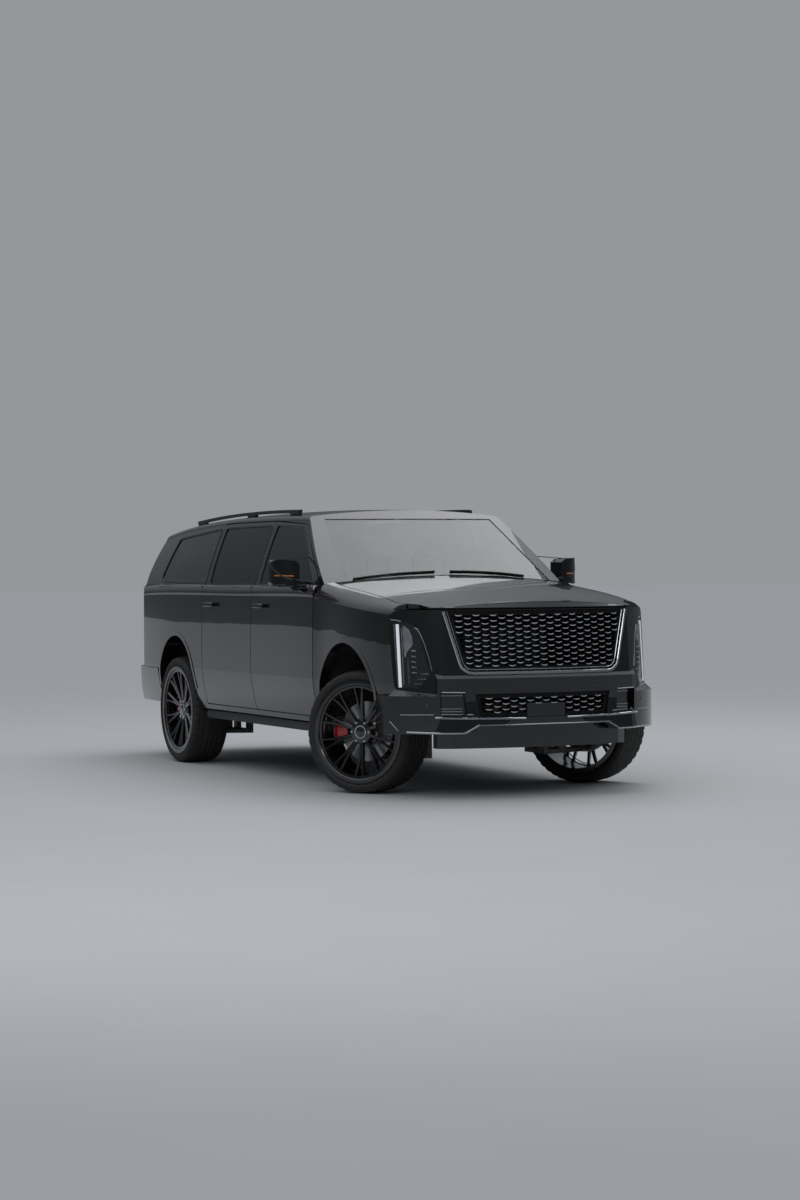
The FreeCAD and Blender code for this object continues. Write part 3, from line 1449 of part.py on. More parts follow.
doc.recompute()
for item in doc.Objects:
    if "Invalid" in item.State or "Error" in item.State:
        raise SystemExit(f"{item.Name} failed to compute")
for name, item in pieces.items():
    if item.Shape.isNull() or not item.Shape.isValid():
        raise SystemExit(f"{name} has no valid shape")
os.makedirs("parts", exist_ok=True)
for name, item in pieces.items():
    item.Shape.exportStep(f"parts/{name}.step")
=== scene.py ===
# Full-size sport utility vehicle: materials, trims, lamps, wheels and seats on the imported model.
# Metres, X forward, Y to the vehicle's left, Z up, with the ground at zero.
import json
import math

import bpy
import bmesh
from mathutils import Matrix, Vector
from mathutils.bvhtree import BVHTree


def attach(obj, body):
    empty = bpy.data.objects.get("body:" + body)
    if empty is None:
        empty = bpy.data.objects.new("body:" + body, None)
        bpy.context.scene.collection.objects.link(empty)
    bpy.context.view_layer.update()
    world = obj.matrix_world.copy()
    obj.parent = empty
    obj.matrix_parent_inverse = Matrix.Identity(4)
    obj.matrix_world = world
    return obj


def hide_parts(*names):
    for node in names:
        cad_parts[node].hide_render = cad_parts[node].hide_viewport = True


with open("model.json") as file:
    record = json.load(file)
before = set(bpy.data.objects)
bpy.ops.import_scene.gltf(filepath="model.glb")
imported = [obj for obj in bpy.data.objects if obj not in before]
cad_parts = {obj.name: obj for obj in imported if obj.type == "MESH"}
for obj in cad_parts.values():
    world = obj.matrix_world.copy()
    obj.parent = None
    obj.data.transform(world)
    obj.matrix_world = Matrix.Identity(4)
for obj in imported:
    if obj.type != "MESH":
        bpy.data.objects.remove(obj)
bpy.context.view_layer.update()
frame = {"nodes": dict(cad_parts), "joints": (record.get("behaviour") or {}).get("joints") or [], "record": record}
NODES = frame["nodes"]
UP = Vector((0, 0, 1))


# Materials

def node_tree(name):
    material = bpy.data.materials.new(name)
    material.use_nodes = True
    nodes = material.node_tree.nodes
    nodes.clear()
    out = nodes.new("ShaderNodeOutputMaterial")
    shader = nodes.new("ShaderNodeBsdfPrincipled")
    material.node_tree.links.new(shader.outputs["BSDF"], out.inputs["Surface"])
    return material, nodes, material.node_tree.links, shader


def surface(name, color, other, scale=40.0, roughness=(0.3, 0.4), bump=0.0, bump_scale=400.0,
            pattern="noise", **sockets):
    """A material whose colour and roughness wander between two values, with a fine bump."""
    material, nodes, links, shader = node_tree(name)
    where = nodes.new("ShaderNodeTexCoord")
    broad = nodes.new("ShaderNodeTexNoise")
    broad.inputs["Scale"].default_value = scale
    broad.inputs["Detail"].default_value = 6
    links.new(where.outputs["Object"], broad.inputs["Vector"])
    ramp = nodes.new("ShaderNodeValToRGB")
    for element, place, value in zip(ramp.color_ramp.elements, (0.35, 0.65), (color, other)):
        element.position = place
        element.color = (*value, 1)
    links.new(broad.outputs["Fac"], ramp.inputs["Fac"])
    links.new(ramp.outputs["Color"], shader.inputs["Base Color"])
    spread = nodes.new("ShaderNodeMapRange")
    spread.inputs["To Min"].default_value = roughness[0]
    spread.inputs["To Max"].default_value = roughness[1]
    links.new(broad.outputs["Fac"], spread.inputs["Value"])
    links.new(spread.outputs["Result"], shader.inputs["Roughness"])
    if bump:
        if pattern == "grain":
            fine = nodes.new("ShaderNodeTexVoronoi")
            height = fine.outputs["Distance"]
        else:
            fine = nodes.new("ShaderNodeTexNoise")
            fine.inputs["Detail"].default_value = 4
            height = fine.outputs["Fac"]
        fine.inputs["Scale"].default_value = bump_scale
        links.new(where.outputs["Object"], fine.inputs["Vector"])
        relief = nodes.new("ShaderNodeBump")
        relief.inputs["Strength"].default_value = 0.6
        relief.inputs["Distance"].default_value = bump
        links.new(height, relief.inputs["Height"])
        links.new(relief.outputs["Normal"], shader.inputs["Normal"])
    for socket, value in sockets.items():
        shader.inputs[socket.replace("_", " ")].default_value = value
    return material


PAINT = surface("black_paint", (0.0022, 0.0022, 0.0026), (0.0045, 0.0045, 0.0052), 900, (0.2, 0.28), 0.00004,
                260, Coat_Weight=1.0, Coat_Roughness=0.015, Specular_IOR_Level=0.25)
GLOSS_BLACK = surface("gloss_black_plastic", (0.004, 0.004, 0.0045), (0.008, 0.008, 0.009), 60, (0.08, 0.16),
                      0.00005, 300, Coat_Weight=0.6, Coat_Roughness=0.03)
RIM_BLACK = surface("rim_black", (0.004, 0.004, 0.0045), (0.009, 0.009, 0.01), 80, (0.12, 0.22), 0.00004, 350,
                    Coat_Weight=0.8, Coat_Roughness=0.04)
SATIN_BLACK = surface("satin_black", (0.012, 0.012, 0.013), (0.02, 0.02, 0.021), 50, (0.4, 0.55), 0.0002, 900,
                      "grain")
LINER = surface("liner_felt", (0.012, 0.012, 0.012), (0.022, 0.021, 0.02), 30, (0.8, 0.95), 0.0008, 300)
RUBBER = surface("rubber", (0.012, 0.012, 0.0125), (0.022, 0.0215, 0.021), 25, (0.6, 0.82), 0.0003, 500)
DARK_CHROME = surface("dark_chrome", (0.46, 0.47, 0.49), (0.54, 0.55, 0.57), 120, (0.1, 0.2), 0.00003, 500,
                      Metallic=1.0)
CHROME = surface("bright_trim", (0.62, 0.64, 0.67), (0.7, 0.72, 0.75), 120, (0.08, 0.18), 0.00003, 500,
                 Metallic=1.0)
STEEL = surface("cast_steel", (0.09, 0.09, 0.092), (0.15, 0.148, 0.145), 45, (0.45, 0.7), 0.0004, 260,
                Metallic=0.7)
ROTOR = surface("rotor_steel", (0.3, 0.3, 0.31), (0.42, 0.42, 0.43), 90, (0.28, 0.42), 0.0001, 800, Metallic=1.0)
FRAME_COAT = surface("frame_coating", (0.011, 0.011, 0.012), (0.02, 0.02, 0.021), 30, (0.35, 0.5), 0.0003, 220)
PIPE = surface("pipe_steel", (0.3, 0.29, 0.28), (0.42, 0.4, 0.37), 20, (0.3, 0.5), 0.0002, 150, Metallic=0.9)
LEATHER = surface("black_leather", (0.012, 0.0115, 0.011), (0.02, 0.019, 0.018), 30, (0.42, 0.58), 0.0006, 420,
                  "grain")
SOFT_TRIM = surface("soft_trim", (0.014, 0.014, 0.015), (0.022, 0.022, 0.023), 60, (0.55, 0.7), 0.0003, 900,
                    "grain")
CALIPER_RED = surface("caliper_red", (0.36, 0.008, 0.01), (0.45, 0.014, 0.014), 60, (0.22, 0.32), 0.0001, 300,
                      Coat_Weight=0.7)
TINTED = surface("tinted_glass", (0.055, 0.06, 0.062), (0.065, 0.07, 0.073), 4, (0.0, 0.01),
                 Transmission_Weight=1.0, IOR=1.45)
SCREEN_GLASS = surface("windshield_glass", (0.42, 0.47, 0.47), (0.45, 0.5, 0.5), 4, (0.0, 0.01),
                       Transmission_Weight=1.0, IOR=1.52)
MIRROR_GLASS = surface("mirror_glass", (0.72, 0.74, 0.76), (0.76, 0.78, 0.8), 4, (0.01, 0.03), Metallic=1.0)
AMBER = surface("amber_lens", (0.45, 0.14, 0.01), (0.55, 0.18, 0.015), 90, (0.08, 0.16), 0.0001, 300,
                Coat_Weight=1.0)
SCREEN_DARK = surface("display", (0.004, 0.005, 0.007), (0.008, 0.009, 0.012), 20, (0.04, 0.08), Coat_Weight=1.0)
LENS_DARK = surface("lamp_housing", (0.012, 0.012, 0.014), (0.022, 0.022, 0.025), 70, (0.05, 0.1), 0.00005, 200,
                    Coat_Weight=1.0, Coat_Roughness=0.02)
LIGHT_GUIDE = surface("light_guide", (0.74, 0.77, 0.8), (0.86, 0.88, 0.9), 160, (0.18, 0.3), 0.0002, 700,
                      Emission_Color=(0.9, 0.95, 1.0, 1), Emission_Strength=0.22)
REFLECTOR = surface("pale_reflector", (0.26, 0.28, 0.31), (0.36, 0.38, 0.41), 25, (0.15, 0.3), 0.0003, 120,
                    Metallic=0.6)
TAIL_RED = surface("tail_lens", (0.09, 0.002, 0.003), (0.14, 0.004, 0.005), 70, (0.06, 0.12), 0.0001, 200,
                   Coat_Weight=1.0)
TAIL_GUIDE = surface("tail_guide", (0.5, 0.02, 0.02), (0.62, 0.03, 0.03), 160, (0.2, 0.3), 0.0002, 700,
                     Emission_Color=(1.0, 0.05, 0.04, 1), Emission_Strength=0.12)
MESH_BLACK = surface("mesh_black", (0.003, 0.003, 0.0032), (0.006, 0.006, 0.0065), 60, (0.45, 0.6), 0.00005,
                     300, Specular_IOR_Level=0.15)

NODE_MATERIALS = (
    # slot, material
    ("paint", PAINT),
    ("glass", TINTED),
    ("windshield_glass", SCREEN_GLASS),
    ("grille_black", GLOSS_BLACK),
    ("lamp", LENS_DARK),
    ("tail_lamp", TAIL_RED),
    ("black_plastic", SATIN_BLACK),
    ("frame_steel", FRAME_COAT),
    ("cast", STEEL),
    ("steel", PIPE),
    ("rim", RIM_BLACK),
    ("tyre", RUBBER),
    ("leather", LEATHER),
    ("trim", SOFT_TRIM),
    ("liner", LINER),
)


def dress_nodes():
    by_slot = dict(NODE_MATERIALS)
    slots = {part["node"]: part["material_slot"] for part in frame["record"]["subparts"]}
    for name, item in NODES.items():
        for place in item.material_slots:
            place.material = MESH_BLACK if name == "grille" else by_slot[slots[name]]


dress_nodes()


# Mesh helpers

def add_mesh(name, verts, faces, body, slot, material, sharp=35):
    mesh = bpy.data.meshes.new(name)
    mesh.from_pydata([tuple(v) for v in verts], [], faces)
    mesh.update()
    work = bmesh.new()
    work.from_mesh(mesh)
    bmesh.ops.recalc_face_normals(work, faces=work.faces)
    work.to_mesh(mesh)
    work.free()
    mesh.shade_smooth()
    mesh.set_sharp_from_angle(angle=math.radians(sharp))
    mesh.materials.append(material)
    piece = bpy.data.objects.new(name, mesh)
    bpy.context.scene.collection.objects.link(piece)
    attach(piece, body)
    return piece


class Shape:
    """Vertices and faces gathered from several parts, to make one piece."""

    def __init__(self, *parts):
        self.verts = []
        self.faces = []
        for part in parts:
            self.add(*part)

    def add(self, verts, faces):
        start = len(self.verts)
        self.verts.extend(Vector(v) for v in verts)
        self.faces.extend([start + i for i in face] for face in faces)

    def piece(self, name, body, slot, material, sharp=35):
        return add_mesh(name, self.verts, self.faces, body, slot, material, sharp)


def skin(rings, closed_path=False, closed_section=True):
    """Faces that join rings of equal size, with the ends capped when the path is open."""
    size = len(rings[0])
    verts = [v for ring in rings for v in ring]
    faces = []
    steps = len(rings) if closed_path else len(rings) - 1
    across = size if closed_section else size - 1
    for step in range(steps):
        a = step * size
        b = ((step + 1) % len(rings)) * size
        for i in range(across):
            j = (i + 1) % size
            faces.append((a + i, a + j, b + j, b + i))
    if not closed_path and closed_section:
        faces.append(tuple(range(size)))
        faces.append(tuple(len(verts) - size + i for i in range(size)))
    return verts, faces


def box_part(low, high, chamfer=0.004):
    """A block with chamfered edges all round."""
    low, high = Vector(low), Vector(high)
    rings = []
    table = ((low.z, chamfer), (low.z + chamfer, 0), (high.z - chamfer, 0), (high.z, chamfer))
    for z, inset in table:
        x0, x1, y0, y1 = low.x + inset, high.x - inset, low.y + inset, high.y - inset
        c = chamfer
        rings.append([Vector(p + (z,)) for p in (
            (x0 + c, y0), (x1 - c, y0), (x1, y0 + c), (x1, y1 - c),
            (x1 - c, y1), (x0 + c, y1), (x0, y1 - c), (x0, y0 + c))])
    return skin(rings)


def ring_part(points, radius, sides=10, closed=False):
    """A round bar through points."""
    points = [Vector(p) for p in points]
    rings = []
    for index, point in enumerate(points):
        ahead = points[(index + 1) % len(points)] if closed or index + 1 < len(points) else point
        behind = points[index - 1] if closed or index else point
        along = (ahead - behind).normalized()
        side = along.cross(UP if abs(along.z) < 0.9 else Vector((1, 0, 0))).normalized()
        other = along.cross(side)
        rings.append([point + radius * (math.cos(2 * math.pi * k / sides) * side
                                        + math.sin(2 * math.pi * k / sides) * other) for k in range(sides)])
    return skin(rings, closed_path=closed)


def strip_part(points, normals, width, height, sink=0.002, closed=False, taper=False):
    """A moulding with chamfered edges that lies along points on a surface."""
    count = len(points)
    rings = []
    for index in range(count):
        ahead = points[(index + 1) % count] if closed or index + 1 < count else points[index]
        behind = points[index - 1] if closed or index else points[index]
        along = (ahead - behind).normalized()
        normal = normals[index].normalized()
        across = along.cross(normal).normalized()
        share = 1.0
        if taper:
            share = min(1.0, 0.25 + 6 * min(index, count - 1 - index) / count)
        half = width * share / 2
        edge = min(half, height) * 0.45
        rings.append([points[index] + across * u + normal * v for u, v in (
            (-half, -sink), (-half, height - edge), (-half + edge, height),
            (half - edge, height), (half, height - edge), (half, -sink))])
    return skin(rings, closed_path=closed)


def divided(points, step):
    """The same line with points no further apart than a step."""
    result = [Vector(points[0])]
    for start, end in zip(points, points[1:]):
        start, end = Vector(start), Vector(end)
        parts = max(1, int((end - start).length / step))
        result.extend(start.lerp(end, k / parts) for k in range(1, parts + 1))
    return result


def rounded(points, radius, closed=True, parts=4):
    """A line with its corners rounded."""
    result = []
    count = len(points)
    for index, point in enumerate(points):
        point = Vector(point)
        if not closed and index in (0, count - 1):
            result.append(point)
            continue
        before = Vector(points[index - 1])
        ahead = Vector(points[(index + 1) % count])
        start = point + (before - point).normalized() * min(radius, (before - point).length / 2)
        end = point + (ahead - point).normalized() * min(radius, (ahead - point).length / 2)
        for k in range(parts + 1):
            t = k / parts
            result.append((1 - t) ** 2 * start + 2 * t * (1 - t) * point + t * t * end)
    return result


def tree_of(*names):
    verts, faces = [], []
    for name in names:
        mesh = NODES[name].data
        start = len(verts)
        verts.extend(v.co.copy() for v in mesh.vertices)
        faces.extend([start + i for i in face.vertices] for face in mesh.polygons)
    return BVHTree.FromPolygons(verts, faces)


def landed(tree, points, direction, far=0.6):
    """Where each point meets the surface when it is sent along a direction, with the normals there."""
    direction = Vector(direction).normalized()
    places, normals = [], []
    for point in points:
        place, normal, _, _ = tree.ray_cast(Vector(point) - direction * far, direction, 2 * far)
        if place is None:
            continue
        if normal.dot(direction) > 0:
            normal = -normal
        places.append(place)
        normals.append(normal)
    return places, normals


def smoothed(vectors, passes=3):
    vectors = [v.copy() for v in vectors]
    for _ in range(passes):
        vectors = [(vectors[max(i - 1, 0)] + 2 * v + vectors[min(i + 1, len(vectors) - 1)]).normalized()
                   for i, v in enumerate(vectors)]
    return vectors


FRONT = (-1, 0, 0)
BACK = (1, 0, 0)
SIDES = (1, -1)
AHEAD = 3.0


def side_of(side):
    return "left" if side > 0 else "right"


def inwards(side):
    return 0, -side, 0


def front_points(side, *places):
    """Points ahead of the vehicle, from places given as (distance from the middle, height)."""
    return [(AHEAD, side * y, z) for y, z in places]


def rear_points(side, *places):
    """The same behind the vehicle."""
    return [(-AHEAD, side * y, z) for y, z in places]


def column_points(top, bottom, parts=24):
    """Places down a lamp column between two places."""
    return [Vector(top).lerp(Vector(bottom), k / parts) for k in range(parts + 1)]


def met_from_ahead(tree, y, z):
    """Where a ray that comes from ahead meets the surface, with the normal there."""
    place, normal, _, _ = tree.ray_cast(Vector((AHEAD + 0.3, y, z)), Vector(FRONT), 1.5)
    return place, normal


def moulded(name, body, slot, material, tree, direction, strips, step=0.02, closed=False, sink=0.003):
    """A piece made of strips of (points, width, height) laid on one surface."""
    shape = Shape()
    for points, width, height in strips:
        line = divided([*points, points[0]] if closed else points, step)
        if closed:
            line = line[:-1]
        places, normals = landed(tree, line, direction)
        if len(places) > 1:
            shape.add(*strip_part(places, smoothed(normals), width, height, sink, closed))
    shape.piece(name, body, slot, material)


def pad_between(tree, left, right, direction, lift, sink=0.003, columns=4):
    """A thin patch that lies on a surface between two lines of points."""
    rings = []
    for start, end in zip(left, right):
        row = [Vector(start).lerp(Vector(end), k / columns) for k in range(columns + 1)]
        places, normals = landed(tree, row, direction)
        if len(places) == columns + 1:
            rings.append([p + n * lift for p, n in zip(places, normals)]
                         + [p - n * sink for p, n in reversed(list(zip(places, normals)))])
    return skin(rings)


# Wheels

JOINTS = {joint["name"]: joint for joint in frame["joints"]}
CORNERS = (
    # name, side, body that carries the caliper
    ("front_left", 1, "front_left_upright"),
    ("front_right", -1, "front_right_upright"),
    ("rear_left", 1, "body"),
    ("rear_right", -1, "body"),
)
BARREL_R = 0.330
HUB_R = 0.062
SPOKES = 10
NUTS = 6
NUT_CIRCLE = 0.0699
NUT_PROFILE = (
    # distance outwards, radius
    (0.094, 0.0105),
    (0.1035, 0.0105),
    (0.1065, 0.0085),
    (0.1068, 0.004),
)
DISC_SLOTS = 12
CALIPER_SPAN = 43
CALIPER_PARTS = 14
TREAD_PARTS = 180
TYRE_R = 0.4185


def wheel_place(name, side):
    """The matrix from wheel coordinates, with the axle along Y and outwards positive, to the vehicle."""
    joint = JOINTS[f"{name}_wheel_spin"]
    outward = Vector(joint["axis"]).normalized() * side
    if outward.y * side < 0:
        outward = -outward
    forward = outward.cross(UP)
    place = Matrix((forward, outward, UP)).transposed().to_4x4()
    place.translation = Vector(joint["pos_m"])
    return place


def turned(profile, segments=96, closed=True):
    """A profile of (distance outwards, radius) turned about the axle."""
    rings = []
    for k in range(segments):
        angle = 2 * math.pi * k / segments
        rings.append([Vector((r * math.cos(angle), a, r * math.sin(angle))) for a, r in profile])
    return skin(rings, closed_path=True, closed_section=closed)


def tyre_shape():
    """Carcass with sidewall rings and a tread of ribs and shoulder blocks."""
    groove = TYRE_R - 0.008
    top = TYRE_R - 0.0004
    half = [
        (0.0, top), (0.012, top), (0.013, groove), (0.021, groove), (0.022, top), (0.058, top - 0.0006),
        (0.059, groove), (0.068, groove), (0.069, top - 0.001), (0.098, top - 0.002), (0.1, groove - 0.001),
        (0.104, groove - 0.001), (0.106, top - 0.003), (0.130, top - 0.007), (0.139, top - 0.014),
        (0.1445, top - 0.026), (0.1468, 0.386), (0.1474, 0.378), (0.1455, 0.3775), (0.1462, 0.371),
        (0.1440, 0.3665), (0.1395, 0.362), (0.1360, 0.3575), (0.1290, 0.3545), (0.1275, 0.3306),
    ]
    profile = [(-a, r) for a, r in reversed(half)] + half[1:]
    shape = Shape()
    rings = []
    for k in range(TREAD_PARTS):
        angle = 2 * math.pi * k / TREAD_PARTS
        low = k % 4 == 0
        ring = []
        for a, r in profile:
            shoulder = 0.102 < abs(a) < 0.142
            rib = 0.024 < abs(a) < 0.1 and r > groove + 0.002
            if low and shoulder:
                r -= 0.0055
            if (k + 2) % 4 == 0 and rib:
                r -= 0.004
            twist = 0.012 * min(1.0, abs(a) / 0.14) * (1 if a > 0 else -1)
            turn = angle + (twist if r > groove - 0.01 else 0)
            ring.append(Vector((r * math.cos(turn), a, r * math.sin(turn))))
        rings.append(ring)
    shape.add(*skin(rings, closed_path=True))
    return shape


def spoke(shape, start_angle, end_angle, start_width, end_width):
    """One branch of a split spoke, ridged along its middle and dished from hub to rim."""
    rings = []
    parts = 9
    for k in range(parts + 1):
        t = k / parts
        radius = HUB_R + t * (BARREL_R - 0.008 - HUB_R)
        angle = start_angle + (end_angle - start_angle) * t ** 1.35
        width = start_width + (end_width - start_width) * t
        front = 0.094 + 0.036 * t ** 1.2
        deep = 0.034 - 0.008 * t
        outward = Vector((math.cos(angle), 0, math.sin(angle)))
        across = Vector((-math.sin(angle), 0, math.cos(angle)))
        centre = outward * radius
        rings.append([centre + across * u + Vector((0, v, 0)) for u, v in (
            (-width / 2, front - deep), (-width / 2, front - 0.007), (-width * 0.22, front),
            (width * 0.22, front), (width / 2, front - 0.007), (width / 2, front - deep))])
    shape.add(*skin(rings))


def rim_shape():
    """Barrel, outer face ring, split spokes and hub."""
    shape = Shape(
        turned([(-0.141, 0.316), (-0.120, 0.318), (-0.05, 0.312), (0.06, 0.310), (0.110, 0.314), (0.136, 0.318),
                (0.141, 0.324), (0.1415, 0.340), (0.1400, 0.3505), (0.134, 0.352), (0.130, 0.347),
                (0.1285, 0.3295), (0.08, 0.327), (-0.08, 0.327), (-0.1285, 0.3295), (-0.130, 0.347),
                (-0.136, 0.352), (-0.141, 0.349)], 120),
        turned([(0.070, 0.318), (0.098, 0.3185), (0.128, 0.3185), (0.1315, 0.314), (0.1305, 0.3005),
                (0.118, 0.298), (0.098, 0.300), (0.078, 0.306)], 120))
    step = 2 * math.pi / SPOKES
    for index in range(SPOKES):
        middle = index * step + step / 2
        for sign in (-1, 1):
            spoke(shape, middle + sign * 0.03, middle + sign * 0.118, 0.023, 0.0165)
    shape.add(*turned([
        (0.030, 0.0), (0.030, 0.088), (0.066, 0.090), (0.086, 0.086), (0.0955, 0.078), (0.098, 0.060),
        (0.0985, 0.0)], 60, closed=False))
    return shape


def nut_shape():
    """Wheel nuts on their circle."""
    shape = Shape()
    corners = [(math.cos(k * math.pi / 3), math.sin(k * math.pi / 3)) for k in range(6)]
    for index in range(NUTS):
        angle = 2 * math.pi * index / NUTS
        centre = Vector((NUT_CIRCLE * math.cos(angle), 0, NUT_CIRCLE * math.sin(angle)))
        shape.add(*skin([[centre + Vector((radius * c, depth, radius * s)) for c, s in corners]
                         for depth, radius in NUT_PROFILE]))
    return shape


def build_wheels():
    tyre = tyre_shape()
    rim = rim_shape()
    nuts = nut_shape()
    ring = Shape(turned([(0.0975, 0.036), (0.1035, 0.0375), (0.1050, 0.041), (0.1040, 0.0455),
                         (0.0975, 0.047)], 60))
    cap = Shape(turned([(0.0975, 0.0365), (0.1000, 0.0362), (0.1022, 0.030), (0.1030, 0.0)], 60, closed=False))
    rotor = Shape(
        turned([(-0.012, 0.105), (-0.012, 0.2045), (-0.0045, 0.205), (-0.0045, 0.190), (0.0105, 0.190),
                (0.0105, 0.205), (0.018, 0.2045), (0.018, 0.105)], 90),
        turned([(0.018, 0.108), (0.040, 0.100), (0.045, 0.088), (0.030, 0.084), (-0.010, 0.086),
                (-0.012, 0.108)], 60))
    slots = Shape()
    for index in range(DISC_SLOTS):
        angle = 2 * math.pi * index / DISC_SLOTS
        line = []
        for k in range(7):
            radius = 0.118 + 0.013 * k
            turn = angle + 0.035 * k
            line.append(Vector((radius * math.cos(turn), 0.0181, radius * math.sin(turn))))
        slots.add(*strip_part(line, [Vector((0, 1, 0))] * 7, 0.003, 0.0003, 0.0005))
    rings = []
    for k in range(CALIPER_PARTS + 1):
        angle = math.radians(180 - CALIPER_SPAN / 2 + CALIPER_SPAN * k / CALIPER_PARTS)
        outward = Vector((math.cos(angle), 0, math.sin(angle)))
        swell = 0.0035 * math.sin(math.pi * k / CALIPER_PARTS)
        rings.append([outward * r + Vector((0, a, 0)) for a, r in (
            (0.0265, 0.134), (0.0600, 0.134), (0.0625 + swell, 0.142), (0.0628 + swell, 0.196),
            (0.0575 + swell, 0.236), (0.050, 0.2505), (-0.045, 0.2505), (-0.052, 0.245),
            (-0.0518, 0.2488), (0.0265, 0.2484))])
    caliper = Shape(skin(rings))
    table = (
        # suffix, shape, material, slot, replaced CAD node kind, angle kept sharp
        ("tyre_tread", tyre, RUBBER, "tyre", "tyre", 28),
        ("rim_spokes", rim, RIM_BLACK, "rim", "rim", 32),
        ("wheel_nuts", nuts, DARK_CHROME, "rim", None, 25),
        ("cap_ring", ring, DARK_CHROME, "rim", None, 40),
        ("centre_cap", cap, RIM_BLACK, "rim", None, 40),
        ("brake_disc", rotor, ROTOR, "cast", None, 35),
        ("disc_slots", slots, STEEL, "cast", None, 35),
    )
    for name, side, carrier in CORNERS:
        place = wheel_place(name, side)
        for suffix, shape, material, slot, replaced, sharp in table:
            made = add_mesh(f"{name}_{suffix}", [place @ v for v in shape.verts], shape.faces, f"{name}_wheel",
                            slot, material, sharp)
            if replaced:
                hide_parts(f"{name}_{replaced}")
        verts = [place @ Vector((v.x * side, v.y, v.z)) for v in caliper.verts]
        add_mesh(f"{name}_caliper", verts, caliper.faces, carrier, "cast", CALIPER_RED, 40)


build_wheels()


# Front

FACE = tree_of("front_bumper", "grille", "headlamps")
SKIN_FRONT = tree_of("front_bumper")
GRILLE_TOP = 1.244
GRILLE_BOTTOM = 0.846
GRILLE_HALF_TOP = 0.664
GRILLE_HALF_BOTTOM = 0.560
MESH_OPENINGS = (
    # bottom, top, half the width at the top, half the width at the bottom
    (GRILLE_BOTTOM, GRILLE_TOP, GRILLE_HALF_TOP, GRILLE_HALF_BOTTOM),
    (0.540, 0.698, 0.500, 0.470),
)
DASH_PITCH = 0.058
DASH_RISE = 0.037
DASH_LENGTH = 0.046
DASH_WIDTH = 0.0075
DASH_HEIGHT = 0.0045
DASH_DIP = 0.0055


def grille_outline(distance):
    """The opening's outline in the front view, moved outwards by a distance."""
    top = GRILLE_HALF_TOP + distance
    bottom = GRILLE_HALF_BOTTOM + distance - distance * 0.25
    high = GRILLE_TOP - 0.004
    low = GRILLE_BOTTOM - distance
    return front_points(1, (-top, high), (-bottom, low), (bottom, low), (top, high))


def dash_bars(shape, tree, low, high, half, half_low):
    """Bright bars on the mesh blades: each dips in the middle, and neighbouring columns are staggered."""
    columns = int(half / DASH_PITCH) + 1
    rows = int((high - low) / DASH_RISE) + 1
    for column in range(-columns, columns + 1):
        y = column * DASH_PITCH
        for row in range(-1, rows + 1):
            z = low + row * DASH_RISE - 0.003 + (column % 2) * DASH_RISE / 2
            share = (z - low) / (high - low)
            limit = half_low + (half - half_low) * share - 0.042
            if not low + 0.022 < z < high - 0.022 or abs(y) > limit:
                continue
            place, _ = met_from_ahead(tree, y, z)
            if place is None:
                continue
            slope = 0.0
            beside, _ = met_from_ahead(tree, y + 0.02, z)
            if beside is not None and abs(beside.x - place.x) < 0.02:
                slope = (beside.x - place.x) / 0.02
            points = []
            for k in range(9):
                t = k / 8 * 2 - 1
                offset = t * DASH_LENGTH / 2
                depth = place.x + slope * offset + 0.001
                points.append(Vector((depth, y + offset, z + DASH_DIP * t * t - 0.002)))
            normals = [Vector((1, 0, 0.35))] * len(points)
            shape.add(*strip_part(points, normals, DASH_WIDTH, DASH_HEIGHT, 0.005, taper=True))


def build_grille_trim():
    moulded("grille_frame_outer", "body", "grille_black", CHROME, SKIN_FRONT, FRONT,
            [(rounded(grille_outline(0.014), 0.07, closed=False), 0.019, 0.007)])
    moulded("grille_frame_inner", "body", "grille_black", CHROME, FACE, FRONT,
            [(rounded(grille_outline(-0.010), 0.06, closed=False), 0.007, 0.006)])
    bars = Shape()
    mesh_tree = tree_of("grille")
    for opening in MESH_OPENINGS:
        dash_bars(bars, mesh_tree, *opening)
    bars.piece("grille_bars", "body", "grille_black", DARK_CHROME)


build_grille_trim()

REFLECTOR_EDGE = (
    # height, outer edge, inner edge
    (1.146, 0.887, 0.878),
    (1.120, 0.888, 0.858),
    (1.074, 0.888, 0.845),
    (1.028, 0.887, 0.842),
    (1.008, 0.887, 0.852),
    (0.975, 0.886, 0.872),
    (0.940, 0.885, 0.880),
)
LENS_BARS = (
    # height, outer end, inner end
    *((z, 0.852, 0.828) for z in (0.982, 0.946, 0.910, 0.874, 0.838)),
)
DARK_BARS = (
    # height, outer end, inner end
    (0.832, 0.812, 0.770),
    (0.797, 0.825, 0.787),
    (0.765, 0.842, 0.808),
)
BEZEL_LINE = (
    # distance from the middle, height
    (0.945, 1.188),
    (0.899, 1.179),
    (0.828, 1.137),
    (0.812, 1.107),
    (0.790, 1.035),
    (0.768, 0.930),
    (0.756, 0.852),
)


def short_bars(table, width, height):
    """Bars that drop by a millimetre from their outer to their inner end."""
    return [(((outer, z), (inner, z - 0.001)), width, height) for z, outer, inner in table]


